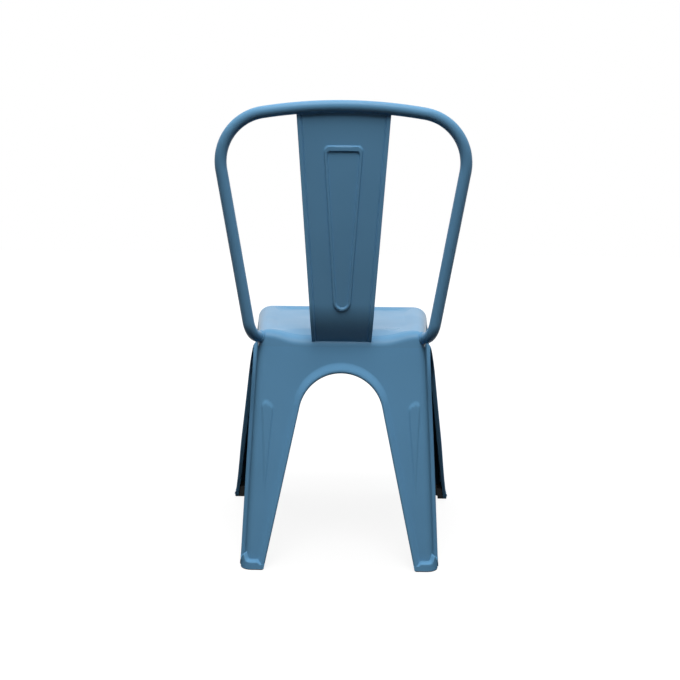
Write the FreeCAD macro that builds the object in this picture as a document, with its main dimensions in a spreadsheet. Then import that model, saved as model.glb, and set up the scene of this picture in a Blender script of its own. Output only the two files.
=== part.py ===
import FreeCAD, Part
import math
import os
import Sketcher
from FreeCAD import Placement, Rotation, Vector

# Pressed steel bistro chair, in millimetres. The chair stands on Z = 0 and faces -Y.
# X = 0 is its plane of symmetry, and the origin is on the floor under the middle of its bounding box.
# It is a welded chair: a pressed seat, four arched leg panels that meet at rounded leg corners,
# a bent tube hoop with a pressed splat, and a crossed brace under the seat.

doc = FreeCAD.newDocument("bistro_chair")
dims = doc.addObject("Spreadsheet::Sheet", "dims")

SIZES = [
    # alias, value, what it is
    ("sheet_gauge", 1.2, "thickness of all pressed sheet"),
    ("rear_corner_radius", 15, "outer radius of the rear leg corners and of the seat's rear corners"),
    ("front_corner_radius", 28, "outer radius of the seat's front corners"),
    ("front_foot_radius", 18, "outer radius of the front leg corners at the floor"),
    ("seat_front_half", 182.5, "half width of the seat at its front edge"),
    ("seat_rear_half", 155, "half width of the seat at its rear edge"),
    ("seat_front_edge", 192, "seat's front edge ahead of the origin"),
    ("seat_rear_edge", 170, "seat's rear edge behind the origin"),
    ("joint_height", 406.6, "height of the seam between the seat and the leg panels"),
    ("rim_height", 30, "rim crest above that seam"),
    ("rim_radius", 13, "outer radius of the rolled rim"),
    ("rim_land", 15, "width of the rim before the dish begins"),
    ("dish_depth", 5, "depth of the dish in the seat"),
    ("dish_run", 30, "width of the dish's sloping border"),
    ("scoop_depth", 13.5, "dip of the rear rim between its corners"),
    ("scoop_half", 136, "half width of that dip at the rim crest"),
    ("scoop_floor_half", 68, "half width of the dip's level floor"),
    ("scoop_run", 75, "how far the dip runs forwards into the dish"),
    ("drain_diameter", 9, "drain hole in the middle of the seat"),
    ("foot_front_half", 233, "half width over the front leg corners at the floor"),
    ("foot_rear_half", 175, "half width over the rear leg corners at the floor"),
    ("foot_front_edge", 244.5, "front leg faces ahead of the origin at the floor"),
    ("foot_rear_edge", 244.5, "rear leg faces behind the origin at the floor"),
    ("panel_lift", 1.5, "height of the sheet's lower edge above the floor"),
    ("seam_setback", 23, "leg seam behind the front or rear face"),
    ("lap_width", 12, "lap of a side panel behind the wrapped corner"),
    ("lap_foot", 40, "height where the laps begin"),
    ("band_rise", 8, "how far the raised band round an arch stands proud"),
    ("band_crown", 21, "width of that band at the crown"),
    ("band_leg", 15.5, "width of that band down the legs"),
    ("cuff_height", 14, "height of the raised cuff at each foot"),
    ("rear_crown_drop", 47.2, "crown of the rear arch below the seam"),
    ("rear_radius", 78.5, "radius of the rear arch"),
    ("rear_opening", 140.2, "half width of the rear arch at the floor"),
    ("front_crown_drop", 44.6, "crown of the front arch below the seam"),
    ("front_radius", 100, "radius of the front arch"),
    ("front_opening", 195, "half width of the front arch at the floor"),
    ("side_crown_drop", 34.6, "crown of a side arch below the seam"),
    ("side_radius", 118, "radius of a side arch"),
    ("side_opening", 206.5, "half width of a side arch at the floor"),
    ("rib_rise", 2.5, "how far the tapered leg rib stands proud"),
    ("rib_radius", 11.5, "radius of the leg rib's rounded top"),
    ("rib_drop", 100.9, "leg rib's top below the seam"),
    ("rib_length", 190, "length of the leg rib down to its tip"),
    ("rib_setback", 24, "rib's middle from the leg corner at its top"),
    ("rib_tip_setback", 28, "rib's tip from the leg corner"),
    ("tube_diameter", 21.5, "outside diameter of the hoop's tube"),
    ("tube_wall", 1.5, "wall of the hoop's tube"),
    ("hoop_half", 217.5, "half width of the hoop on the tube's centreline"),
    ("hoop_height", 415, "hoop's centreline at its crown above its feet"),
    ("hoop_crown_radius", 889, "radius of the shallow crown"),
    ("hoop_corner_radius", 89, "radius of the hoop's upper corners"),
    ("hoop_side_angle", 9.15, "taper of the hoop's sides, in degrees"),
    ("hoop_lean", 6, "backward lean of the hoop, in degrees"),
    ("hoop_foot_rise", 23.4, "hoop's feet above the seam, where its sides turn forwards"),
    ("hoop_foot_behind", 20.5, "the same point behind the seat's rear edge"),
    ("hoop_bend_radius", 38, "radius of the bend above each hoop foot"),
    ("hoop_foot_drop", 6.5, "fall of the hoop's foot on its way to the seat's corner"),
    ("hoop_foot_inset", 2, "hoop's foot inside the seat's side where it lands"),
    ("hoop_foot_ahead", 11.5, "the same point ahead of the seat's rear edge"),
    ("weld_size", 2.4, "size of the weld beads"),
    ("splat_top_half", 84, "half width of the splat at the hoop's crown"),
    ("splat_bend_half", 60, "half width of the splat where its curve begins"),
    ("splat_foot_half", 54, "half width of the splat at its lower edge"),
    ("splat_bend_rise", 62, "where the splat begins to curve forwards, above the hoop's feet"),
    ("splat_bend_radius", 127, "radius of that curve"),
    ("splat_foot_angle", 33, "slope of the splat's lower end from the vertical, in degrees"),
    ("splat_foot_run", 26, "straight run at the splat's lower end"),
    ("splat_fold", 7.2, "width of the folded hem along each side of the splat"),
    ("loop_drop", 68, "top of the splat's raised loop below the hoop's crown"),
    ("loop_foot_rise", 48, "foot of the raised loop above the hoop's feet"),
    ("loop_top_half", 35, "half width of the loop near its top"),
    ("loop_foot_half", 17, "half width of the loop at its foot"),
    ("loop_width", 6, "width of the raised loop's line"),
    ("loop_rise", 2.2, "how far the loop stands proud"),
    ("loop_corner", 9, "radius of the loop's corners"),
    ("brace_width", 24, "width of a brace channel"),
    ("brace_depth", 10, "depth of a brace channel"),
    ("brace_gauge", 1.5, "wall of a brace channel"),
    ("brace_drop", 28.6, "plane where the two braces touch, below the seam"),
    ("rivet_diameter", 6, "shank of the rivet through both braces"),
    ("rivet_head", 13, "diameter of the rivet's heads"),
    ("rivet_head_height", 2.5, "height of the rivet's heads"),
    ("bumper_spread", 120, "stacking bumper from the crossing of the braces"),
    ("bumper_diameter", 18, "diameter of a stacking bumper"),
    ("bumper_drop", 14, "lower face of the bumpers below the plane where the braces touch"),
    ("bumper_neck", 8, "diameter of the bumper's neck in its hole"),
    ("bumper_barb", 11, "diameter of the barb that holds the bumper"),
    ("bumper_barb_height", 3, "height of that barb"),
    ("glide_height", 26, "height of a rubber foot inside the leg"),
    ("glide_wall", 11, "wall of a rubber foot"),
    ("glide_step", 5.5, "rubber foot's ledge below the top of the cuff"),
    ("fit_gap", 0.3, "clearance round the rubber feet"),
    ("stitch_length", 40, "length of a weld stitch under the seat"),
]

for row, (alias, value, meaning) in enumerate(SIZES, start=1):
    dims.set(f"A{row}", meaning)
    dims.set(f"B{row}", str(value))
    dims.setAlias(f"B{row}", alias)
doc.recompute()


class Size:
    """A number together with the spreadsheet expression that gives it."""

    def __init__(self, value, text):
        self.value = float(value)
        self.text = text

    def join(self, other, sign, value):
        other_text = other.text if isinstance(other, Size) else repr(other)
        return Size(value, f"({self.text} {sign} {other_text})")

    def __add__(self, other):
        return self.join(other, "+", self.value + number(other))

    __radd__ = __add__

    def __sub__(self, other):
        return self.join(other, "-", self.value - number(other))

    def __mul__(self, other):
        return self.join(other, "*", self.value * number(other))

    def __truediv__(self, other):
        return self.join(other, "/", self.value / number(other))

    def __neg__(self):
        return Size(-self.value, f"(-1 * {self.text})")


def number(quantity):
    return quantity.value if isinstance(quantity, Size) else float(quantity)


def size(alias):
    """The sheet's value under this alias, with its expression."""
    return Size(dims.get(alias), "dims." + alias)


def sine(angle):
    return Size(math.sin(math.radians(angle.value)), f"sin({angle.text})")


def cosine(angle):
    return Size(math.cos(math.radians(angle.value)), f"cos({angle.text})")


def value(alias):
    """The sheet's value under this alias, as a plain number."""
    return float(dims.get(alias))


# Helpers for bodies with sketches

def new_body(name, placement=None):
    body = doc.addObject("PartDesign::Body", name)
    if placement is not None:
        body.Placement = placement
    return body


def new_sketch(body, name, role, offset=None):
    """A sketch on one of the body's own origin planes, raised off it where an offset is given."""
    sketch = body.newObject("Sketcher::SketchObject", name)
    plane = next(item for item in body.Origin.OriginFeatures if item.Role == role)
    sketch.AttachmentSupport = (plane, "")
    sketch.MapMode = "FlatFace"
    if offset is not None:
        sketch.AttachmentOffset = Placement(Vector(0, 0, offset.value), Rotation())
        sketch.setExpression("AttachmentOffset.Base.z", offset.text)
    return sketch


def pin(sketch, axis, item, point, coordinate):
    """Hold one coordinate of a sketch point: on the axis where it is 0, else by its expression."""
    if not isinstance(coordinate, Size):
        sketch.addConstraint(Sketcher.Constraint("PointOnObject", item, point, -2 if axis == "X" else -1))
        return
    index = sketch.addConstraint(
        Sketcher.Constraint("Distance" + axis, -1, 1, item, point, coordinate.value))
    sketch.setExpression(f"Constraints[{index}]", coordinate.text)


def arc_between(start, end, radius, left):
    """The arc of this radius from start to end, its centre to the left of that way or to the right."""
    chord = end - start
    middle = (start + end) * 0.5
    reach = math.sqrt(max(radius ** 2 - chord.Length ** 2 / 4, 0))
    across = Vector(-chord.y, chord.x, 0).normalize()
    side = 1 if left else -1
    centre = middle + across * (reach * side)
    through = centre - across * (radius * side)
    return Part.Arc(start, through, end)


def outline(sketch, corners):
    """A closed outline. Each corner is (x, y) or (x, y, radius, left), an arc leading to the next."""
    points = [Vector(number(corner[0]), number(corner[1]), 0) for corner in corners]
    items = []
    for index, corner in enumerate(corners):
        start, end = points[index], points[(index + 1) % len(points)]
        if len(corner) == 4:
            shape = arc_between(start, end, number(corner[2]), corner[3])
        else:
            shape = Part.LineSegment(start, end)
        items.append(sketch.addGeometry(shape))
    ends = []
    for index, corner in enumerate(corners):
        flipped = len(corner) == 4 and not corner[3]
        ends.append((2, 1) if flipped else (1, 2))
    for index, item in enumerate(items):
        following = (index + 1) % len(items)
        sketch.addConstraint(
            Sketcher.Constraint("Coincident", item, ends[index][1], items[following], ends[following][0]))
    for index, corner in enumerate(corners):
        pin(sketch, "X", items[index], ends[index][0], corner[0])
        pin(sketch, "Y", items[index], ends[index][0], corner[1])
        if len(corner) == 4:
            radius = sketch.addConstraint(Sketcher.Constraint("Radius", items[index], number(corner[2])))
            sketch.setExpression(f"Constraints[{radius}]", corner[2].text)
    return sketch


def circle(sketch, x, y, diameter):
    centre = Vector(number(x), number(y), 0)
    item = sketch.addGeometry(Part.Circle(centre, Vector(0, 0, 1), number(diameter) / 2))
    pin(sketch, "X", item, 3, x)
    pin(sketch, "Y", item, 3, y)
    index = sketch.addConstraint(Sketcher.Constraint("Diameter", item, number(diameter)))
    sketch.setExpression(f"Constraints[{index}]", diameter.text)
    return sketch


def pad(body, name, sketch, length, reverse=False, symmetric=False):
    feature = body.newObject("PartDesign::Pad", name)
    feature.Profile = sketch
    feature.Length = length.value
    feature.setExpression("Length", length.text)
    feature.Reversed = reverse
    if symmetric:
        feature.SideType = "Symmetric"
    doc.recompute()
    return feature


def cut_through(body, name, sketch):
    """A pocket right through the body both ways, which has to take something away."""
    before = body.Tip.Shape.Volume
    feature = body.newObject("PartDesign::Pocket", name)
    feature.Profile = sketch
    feature.Type = "ThroughAll"
    feature.SideType = "Symmetric"
    doc.recompute()
    if not feature.Shape.Volume < before:
        raise RuntimeError(name + " cuts nothing")
    return feature


def turned(body, name, sketch, axis):
    """A full revolution about the sketch's axis, H_Axis or V_Axis."""
    feature = body.newObject("PartDesign::Revolution", name)
    feature.Profile = sketch
    feature.ReferenceAxis = (sketch, [axis])
    feature.Angle = 360
    doc.recompute()
    return feature


def edge_names(shape, chosen):
    return [f"Edge{index}" for index, edge in enumerate(shape.Edges, start=1) if chosen(edge)]


def rounded(body, name, base, names, radius):
    feature = body.newObject("PartDesign::Fillet", name)
    feature.Base = (base, names)
    feature.Radius = radius.value
    feature.setExpression("Radius", radius.text)
    doc.recompute()
    return feature


def solid_feature(name, shape):
    """A named object whose shape is worked out by functions."""
    feature = doc.addObject("Part::Feature", name)
    feature.Shape = shape
    return feature


# Heights that follow from the seam between the seat and the leg panels

joint_height = size("joint_height")
hoop_foot_height = joint_height + size("hoop_foot_rise")
hoop_foot_rear = size("seat_rear_edge") + size("hoop_foot_behind")
hoop_top = hoop_foot_height + size("hoop_height")
brace_height = joint_height - size("brace_drop")


# Seat pan. One pressing: a trapezoid with rounded corners, a rolled rim that dips between the rear
# corners, and a shallow dish. Its own frame lies in the seam plane above the leg panels.

gauge = size("sheet_gauge")
front_half, rear_half = size("seat_front_half"), size("seat_rear_half")
front_edge, rear_edge = size("seat_front_edge"), size("seat_rear_edge")
rim_height = size("rim_height")
nothing = gauge * 0


def upright_at(shape, front):
    """The upright edges at the front or rear corners."""
    return edge_names(shape, lambda edge: abs(edge.tangentAt(edge.FirstParameter).z) > 0.9
                      and (edge.CenterOfMass.y < 0) == front)


def outer_crest(shape):
    """The edges along the top of a block's outer walls, which stand on the seam plane."""
    walls = [face for face in shape.Faces if face.BoundBox.ZMin < 0.01 < face.BoundBox.ZMax]
    crest = [edge for face in walls for edge in face.Edges if edge.BoundBox.ZMin > 0.01]
    return edge_names(shape, lambda edge: any(edge.isSame(other) for other in crest))


def seat_outline(body, name, height, margin):
    """The seat's plan at this height, its corners this far in from the seat's edges."""
    front_x, rear_x = front_half - margin, rear_half - margin
    front_y, rear_y = front_edge - margin, rear_edge - margin
    return outline(new_sketch(body, body.Name + name, "XY_Plane", height), [
        (-front_x, -front_y), (front_x, -front_y), (rear_x, rear_y), (-rear_x, rear_y)])


def scoop_outline(body, name, behind, rim, depth):
    """The dip seen from behind, this far behind the origin: a level floor that rises on two arcs a side."""
    wide, floor = size("scoop_half"), size("scoop_floor_half")
    across, down = (wide - floor) / 2, depth / 2
    radius = (across * across + down * down) / (down * 2)
    above = rim + size("dish_depth")
    return outline(new_sketch(body, body.Name + name, "XZ_Plane", -behind), [
        (-wide, above), (wide, above),
        (wide, rim, radius, True), (wide - across, rim - down, radius, False),
        (floor, rim - depth),
        (-floor, rim - depth, radius, False), (-(wide - across), rim - down, radius, True),
        (-wide, rim)])


def hollowed(body, name, first, last):
    """A loft between two outlines, taken away from the body."""
    loft = body.newObject("PartDesign::SubtractiveLoft", body.Name + name)
    loft.Profile = first
    loft.Sections = [last]
    loft.Ruled = True
    doc.recompute()
    return loft


def seat_block(name, inset):
    """The seat as a block on the seam plane, every face moved in by the inset."""
    body = new_body(name, Placement(Vector(0, 0, joint_height.value), Rotation()))
    body.setExpression("Placement.Base.z", joint_height.text)
    rim = rim_height - inset
    plan = seat_outline(body, "_plan", nothing, inset)
    block = pad(body, name + "_pad", plan, rim)
    block = rounded(body, name + "_front_corners", block, upright_at(block.Shape, True),
                    size("front_corner_radius") - inset)
    rounded(body, name + "_rear_corners", block, upright_at(block.Shape, False),
            size("rear_corner_radius") - inset)
    hollowed(
        body, "_scoop",
        scoop_outline(body, "_scoop_rear", rear_edge, rim, size("scoop_depth")),
        scoop_outline(body, "_scoop_end", rear_edge - size("scoop_run"), rim, size("dish_depth") / 2))
    dish = hollowed(
        body, "_dish", seat_outline(body, "_dish_brim", rim, size("rim_land")),
        seat_outline(body, "_dish_floor", rim - size("dish_depth"), size("rim_land") + size("dish_run")))
    rounded(body, name + "_roll", dish, outer_crest(dish.Shape), size("rim_radius") - inset)
    return body


seat_outside = seat_block("seat_outside", nothing)
seat_mass = seat_outside.Shape.copy()
drain = circle(new_sketch(seat_outside, "drain_plan", "XY_Plane"), 0, 0, size("drain_diameter"))
cut_through(seat_outside, "seat_drain", drain)
seat_inside = seat_block("seat_inside", gauge)
seat_pan = doc.addObject("Part::Cut", "seat_pan")
seat_pan.Base = seat_outside
seat_pan.Tool = seat_inside
doc.recompute()


# Surfaces of the legs. A level section through the legs is a trapezoid with rounded corners.
# It runs straight from the seat's outline down to the feet, so the side faces twist a little.

def seat_point(x, y, z=0.0):
    """A point of the seat's own frame, in the chair's frame."""
    return Vector(x, y, joint_height.value + z)


SECTION_FOOT = -0.03
SECTION_TOP = 1.0


def leg_corner(part, share):
    """The sharp corner of a front or rear face with the +X side: share 0 on the floor, 1 at the seat."""
    sign = -1 if part == "front" else 1
    low = Vector(value(f"foot_{part}_half"), sign * value(f"foot_{part}_edge"), 0)
    high = seat_point(value(f"seat_{part}_half"), sign * value(f"seat_{part}_edge"))
    return low + (high - low) * share


def section_frame(share):
    """The front and rear corners of a section, its depth, and the map of (x, depth) to a point."""
    front, rear = leg_corner("front", share), leg_corner("rear", share)
    along = Vector(0, rear.y - front.y, rear.z - front.z)
    depth = along.Length
    along.normalize()

    def place(x, v):
        return Vector(x, front.y + v * along.y, front.z + v * along.z)
    return front.x, rear.x, depth, place


def rounded_wire(corners, radii, place):
    """A closed wire through (x, v) corners, each turned by an arc, or sharp where its radius is 0."""
    count = len(corners)
    starts, middles, ends = [], [], []
    for index, radius in enumerate(radii):
        here = Vector(*corners[index], 0)
        back = (Vector(*corners[index - 1], 0) - here).normalize()
        ahead = (Vector(*corners[(index + 1) % count], 0) - here).normalize()
        half = math.acos(max(-1, min(1, back.dot(ahead)))) / 2
        reach = radius / math.tan(half)
        inward = (back + ahead).normalize()
        starts.append(here + back * reach)
        ends.append(here + ahead * reach)
        middles.append(here + inward * (radius / math.sin(half) - radius))
    edges = []
    for index, radius in enumerate(radii):
        start, end = place(*starts[index][:2]), place(*ends[index][:2])
        if radius > 0:
            edges.append(Part.Arc(start, place(*middles[index][:2]), end).toShape())
        edges.append(Part.LineSegment(end, place(*starts[(index + 1) % count][:2])).toShape())
    return Part.Wire(edges)


def leg_section(share, outset):
    """The legs' outline in one section, moved out by the outset."""
    front_x, rear_x, depth, place = section_frame(share)
    slope = (rear_x - front_x) / depth
    widen = outset * math.sqrt(1 + slope ** 2)

    def edge_x(v):
        return front_x + slope * v + widen
    low, high = -outset, depth + outset
    corners = [(-edge_x(low), low), (edge_x(low), low), (edge_x(high), high), (-edge_x(high), high)]
    foot, seat = value("front_foot_radius"), value("front_corner_radius")
    front = foot + (seat - foot) * share + outset
    rear = value("rear_corner_radius") + outset
    return rounded_wire(corners, [front, front, rear, rear], place)


def leg_volume(outset, foot=SECTION_FOOT):
    """The solid inside the legs' outer surface moved out by the outset, up to the seat's seam."""
    return Part.makeLoft([leg_section(foot, outset), leg_section(SECTION_TOP, outset)], True, True)


def slab(part, near, far):
    """A slab along the front or rear face, from near to far behind that face."""
    wires = []
    for share in (SECTION_FOOT * 2, SECTION_TOP * 1.02):
        _, _, depth, place = section_frame(share)
        low, high = (near, far) if part == "front" else (depth - far, depth - near)
        wide = 2 * value("foot_front_half")
        wires.append(rounded_wire([(-wide, low), (wide, low), (wide, high), (-wide, high)], [0] * 4, place))
    return Part.makeLoft(wires, True, True)


REACH = 400
SHEET = value("sheet_gauge")
RISE = value("band_rise")


def arch_lines(crown, radius, opening, out=0.0, leg_out=None):
    """The arch's leg slope, centre height, radius and half width at the floor, grown by two widths."""
    leg_out = out if leg_out is None else leg_out
    centre = crown - radius
    reach = math.hypot(opening, centre)
    angle = math.acos(radius / reach) - math.atan2(centre, opening)
    grown_opening = opening + leg_out / math.cos(angle)
    sine_angle = math.sin(angle)
    grown_radius = (radius + leg_out - (radius + out) * sine_angle) / (1 - sine_angle)
    return angle, crown + out - grown_radius, grown_radius, grown_opening


def arch_prism(face, out=0.0, leg_out=None):
    """The solid that an arched opening sweeps through its face, moved out by the given widths."""
    name = face if face in ("front", "rear") else "side"
    crown = joint_height.value - value(name + "_crown_drop")
    angle, centre, radius, opening = arch_lines(
        crown, value(name + "_radius"), value(name + "_opening"), out, leg_out)
    depth_below = 60
    foot = opening + depth_below * math.tan(angle)
    shoulder_u, shoulder_w = radius * math.cos(angle), centre + radius * math.sin(angle)

    def place(u, w):
        if face == "front":
            return Vector(u, -REACH, w)
        if face == "rear":
            return Vector(u, 0, w)
        return Vector(0, u, w)
    foot_right, foot_left = place(foot, -depth_below), place(-foot, -depth_below)
    right, left = place(shoulder_u, shoulder_w), place(-shoulder_u, shoulder_w)
    edges = [
        Part.LineSegment(foot_left, foot_right).toShape(),
        Part.LineSegment(foot_right, right).toShape(),
        Part.Arc(right, place(0, centre + radius), left).toShape(),
        Part.LineSegment(left, foot_left).toShape(),
    ]
    way = Vector(REACH, 0, 0) if name == "side" else Vector(0, REACH, 0)
    return Part.Face(Part.Wire(edges)).extrude(way)


def level_slab(low, high):
    """All the space between two heights."""
    return Part.makeBox(2 * REACH, 2 * REACH, high - low, Vector(-REACH, -REACH, low))


def corner_at(part, height):
    """A front or rear leg corner at this height."""
    low, high = leg_corner(part, 0), leg_corner(part, 1)
    return low + (high - low) * ((height - low.z) / (high.z - low.z))


def rib_prism(face, side, inset=0.0):
    """The tapered rib of one leg, swept through its face. side is -1 or 1 along the face."""
    radius = value("rib_radius") - inset
    crest = joint_height.value - value("rib_drop")
    top = crest - value("rib_radius")
    tip = crest - value("rib_length") + inset * value("rib_length") / value("rib_radius")
    part = face if face in ("front", "rear") else ("rear" if side > 0 else "front")
    high, low = corner_at(part, top), corner_at(part, tip)
    if face in ("front", "rear"):
        middle, point = side * (high.x - value("rib_setback")), side * (low.x - value("rib_tip_setback"))
    else:
        middle = high.y - side * value("rib_setback")
        point = low.y - side * value("rib_tip_setback")

    def place(u, w):
        if face == "front":
            return Vector(u, -REACH, w)
        if face == "rear":
            return Vector(u, 0, w)
        return Vector(0, u, w)
    right, left = place(middle + radius, top), place(middle - radius, top)
    edges = [
        Part.LineSegment(place(point, tip), right).toShape(),
        Part.Arc(right, place(middle, top + radius), left).toShape(),
        Part.LineSegment(left, place(point, tip)).toShape(),
    ]
    way = Vector(REACH, 0, 0) if face == "side" else Vector(0, REACH, 0)
    return Part.Face(Part.Wire(edges)).extrude(way)


# Leg panels. Each is a sheet pressing with one arch, a raised band round the arch that ends in a
# turned lip, a raised cuff at each foot and a tapered rib down each leg. The front and rear panels
# wrap round the leg corners, and the side panels lap behind them.

skin = leg_volume(0)
skin_inside = leg_volume(-SHEET)
raised_skin = leg_volume(RISE)
raised_inside = leg_volume(RISE - SHEET)
rib_skin = leg_volume(value("rib_rise"))
rib_inside = leg_volume(value("rib_rise") - SHEET)
lap_inside = leg_volume(-2 * SHEET)
cuff = level_slab(-20, value("cuff_height"))
cuff_inside = level_slab(-20, value("cuff_height") - SHEET)
above_floor = level_slab(value("panel_lift"), 600)


def panel(face, region):
    """One pressed panel, cut from between the outer and the inner skin."""
    band = arch_prism(face, value("band_crown"), value("band_leg"))
    band_inside = arch_prism(face, value("band_crown") - SHEET, value("band_leg") - SHEET)
    lip = arch_prism(face, SHEET)
    ribs = [rib_prism(face, side) for side in (-1, 1)]
    rib_hollows = [rib_prism(face, side, SHEET) for side in (-1, 1)]
    raised = raised_skin.common(band.fuse(cuff))
    hollow = raised_inside.common(band_inside.fuse(cuff_inside).cut(lip))
    outer = skin.fuse([raised, rib_skin.common(Part.makeCompound(ribs))])
    inner = skin_inside.fuse([hollow, rib_inside.common(Part.makeCompound(rib_hollows))])
    return outer.cut(inner).common(region).cut(arch_prism(face)).common(above_floor)


def half_space(sign):
    """Everything on one side of the plane of symmetry."""
    corner = Vector(0 if sign > 0 else -REACH, -REACH, -REACH / 4)
    return Part.makeBox(REACH, 2 * REACH, 2 * REACH, corner)


def single(shape):
    """The one solid in a shape, without seams between its coplanar faces."""
    clean = shape.removeSplitter()
    solids = sorted(clean.Solids, key=lambda solid: solid.Volume)
    return solids[-1]


seam = value("seam_setback")
front_wrap, rear_wrap = slab("front", -60, seam), slab("rear", -60, seam)
front_panel = single(panel("front", front_wrap))
rear_panel = single(panel("rear", rear_wrap))

side_region = half_space(1).cut(front_wrap).cut(rear_wrap)
LAP_ROOT = 4
lap_slabs = [slab(part, seam - value("lap_width"), seam + LAP_ROOT) for part in ("front", "rear")]
laps = skin_inside.cut(lap_inside).common(half_space(1)).common(lap_slabs[0].fuse(lap_slabs[1]))
laps = laps.common(level_slab(value("lap_foot"), 600)).cut(arch_prism("side", SHEET))
side_panel = single(panel("side", side_region).fuse(laps))

solid_feature("front_leg_panel", front_panel)
solid_feature("rear_leg_panel", rear_panel)
solid_feature("side_leg_panel_left", side_panel)
solid_feature("side_leg_panel_right", side_panel.mirror(Vector(0, 0, 0), Vector(1, 0, 0)))


# Rubber feet. Each fills the inside of a leg's corner and stands a little below the sheet.

def glide(part, side):
    gap = value("fit_gap")
    inset = SHEET + gap
    ledge = value("cuff_height") - value("glide_step")
    cuff_core = leg_volume(RISE - inset).common(level_slab(-20, ledge))
    core = leg_volume(-inset).fuse(cuff_core)
    ring = core.cut(leg_volume(-inset - value("glide_wall"))).common(level_slab(0, value("glide_height")))
    quarter = Part.makeBox(REACH, REACH, REACH, Vector(
        0 if side > 0 else -REACH, 0 if part == "rear" else -REACH, -REACH / 4))
    side_arch = arch_prism("side", inset)
    if side < 0:
        side_arch = side_arch.mirror(Vector(0, 0, 0), Vector(1, 0, 0))
    return single(ring.common(quarter).cut(arch_prism(part, inset)).cut(side_arch))


for part in ("front", "rear"):
    for side, hand in ((1, "left"), (-1, "right")):
        solid_feature(f"foot_{part}_{hand}", glide(part, side))


# Hoop. A bent steel tube in a plane that leans back. Its two feet turn in to the seat's rear corners
# and are cut to the rounded corner they are welded to.

corner_mass = solid_feature("corner_mass", skin.fuse(seat_mass))


def lean(x, z, off=0.0):
    """A point of the hoop's plane at this x and height, moved off the plane towards the rear."""
    angle = math.radians(value("hoop_lean"))
    rise = (z - hoop_foot_height.value) / math.cos(angle)
    return Vector(
        x,
        hoop_foot_rear.value + rise * math.sin(angle) + off * math.cos(angle),
        hoop_foot_height.value + rise * math.cos(angle) - off * math.sin(angle))


def in_plane(x, rise):
    """A point of the hoop's plane from its own two coordinates, rise measured up the lean."""
    angle = math.radians(value("hoop_lean"))
    return Vector(
        x, hoop_foot_rear.value + rise * math.sin(angle),
        hoop_foot_height.value + rise * math.cos(angle))


# Length of tube run on into the corner before it is cut to it, in tube diameters
BURIED = 1.3


def hoop_wire():
    """The tube's centreline: foot, bend, side, corner, half crown, and the same mirrored."""
    half, corner = value("hoop_half"), value("hoop_corner_radius")
    crown = value("hoop_crown_radius")
    top = value("hoop_height") / math.cos(math.radians(value("hoop_lean")))
    taper = math.radians(value("hoop_side_angle"))
    centre_x = half - corner
    centre_rise = top - crown + math.sqrt((crown - corner) ** 2 - centre_x ** 2)
    join_angle = math.atan2(centre_rise - (top - crown), centre_x)

    def on_corner(angle):
        return in_plane(centre_x + corner * math.cos(angle), centre_rise + corner * math.sin(angle))
    crown_end = on_corner(join_angle)
    corner_middle = on_corner((join_angle - taper) / 2)
    corner_end = on_corner(-taper)
    side_foot_x = centre_x + corner * math.cos(taper) - math.tan(taper) * (
        centre_rise - corner * math.sin(taper))
    knee = in_plane(side_foot_x, 0)

    rear_corner = leg_corner("rear", 1)
    target = Vector(rear_corner.x - value("hoop_foot_inset"), rear_corner.y - value("hoop_foot_ahead"),
                    knee.z - value("hoop_foot_drop"))
    down = (knee - corner_end).normalize()
    inward = (target - knee).normalize()
    turn = math.acos(down.dot(inward))
    bend = value("hoop_bend_radius")
    reach = bend * math.tan(turn / 2)
    bend_start, bend_end = knee - down * reach, knee + inward * reach
    to_centre = (inward - down).normalize()
    bend_middle = knee + to_centre * (bend / math.cos(turn / 2) - bend)
    foot_end = target + inward * (value("tube_diameter") * BURIED)

    half_edges = [
        Part.Arc(in_plane(0, top), in_plane(crown * math.cos((join_angle + math.pi / 2) / 2),
                 top - crown + crown * math.sin((join_angle + math.pi / 2) / 2)), crown_end).toShape(),
        Part.Arc(crown_end, corner_middle, corner_end).toShape(),
        Part.LineSegment(corner_end, bend_start).toShape(),
        Part.Arc(bend_start, bend_middle, bend_end).toShape(),
        Part.LineSegment(bend_end, foot_end).toShape(),
    ]
    mirrored = [edge.mirror(Vector(0, 0, 0), Vector(1, 0, 0)) for edge in half_edges]
    return Part.Wire(Part.__sortEdges__(half_edges + mirrored))


hoop_path_wire = hoop_wire()
hoop_path = solid_feature("hoop_path", hoop_path_wire)


def hoop_sweep(name, change):
    """The solid that a circle sweeps along the hoop's path, its radius changed by an expression."""
    ring = doc.addObject("Part::Circle", name + "_ring")
    ring.Radius = value("tube_diameter") / 2
    ring.setExpression("Radius", "dims.tube_diameter / 2" + change)
    first = hoop_path_wire.Edges[0]
    start = hoop_path_wire.OrderedVertexes[0].Point
    ahead = first.tangentAt(first.FirstParameter)
    ring.Placement = Placement(start, Rotation(Vector(0, 0, 1), ahead))
    sweep = doc.addObject("Part::Sweep", name)
    sweep.Sections = [ring]
    sweep.Spine = (hoop_path, [])
    sweep.Solid = True
    sweep.Frenet = False
    return sweep


hoop_outside = hoop_sweep("hoop_outside", "")
hoop_bore = hoop_sweep("hoop_bore", " - dims.tube_wall")
hoop_grown = hoop_sweep("hoop_grown", " + dims.weld_size")


def boolean(kind, name, base, tool):
    feature = doc.addObject("Part::" + kind, name)
    feature.Base = base
    feature.Tool = tool
    return feature


hoop_tube = boolean("Cut", "hoop_tube", hoop_outside, hoop_bore)
back_hoop = boolean("Cut", "back_hoop", hoop_tube, corner_mass)
doc.recompute()


# Hoop welds. A bead runs round each hoop foot where the tube meets the seat's corner: all that lies
# within a bead's width of both the tube and the corner.

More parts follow.
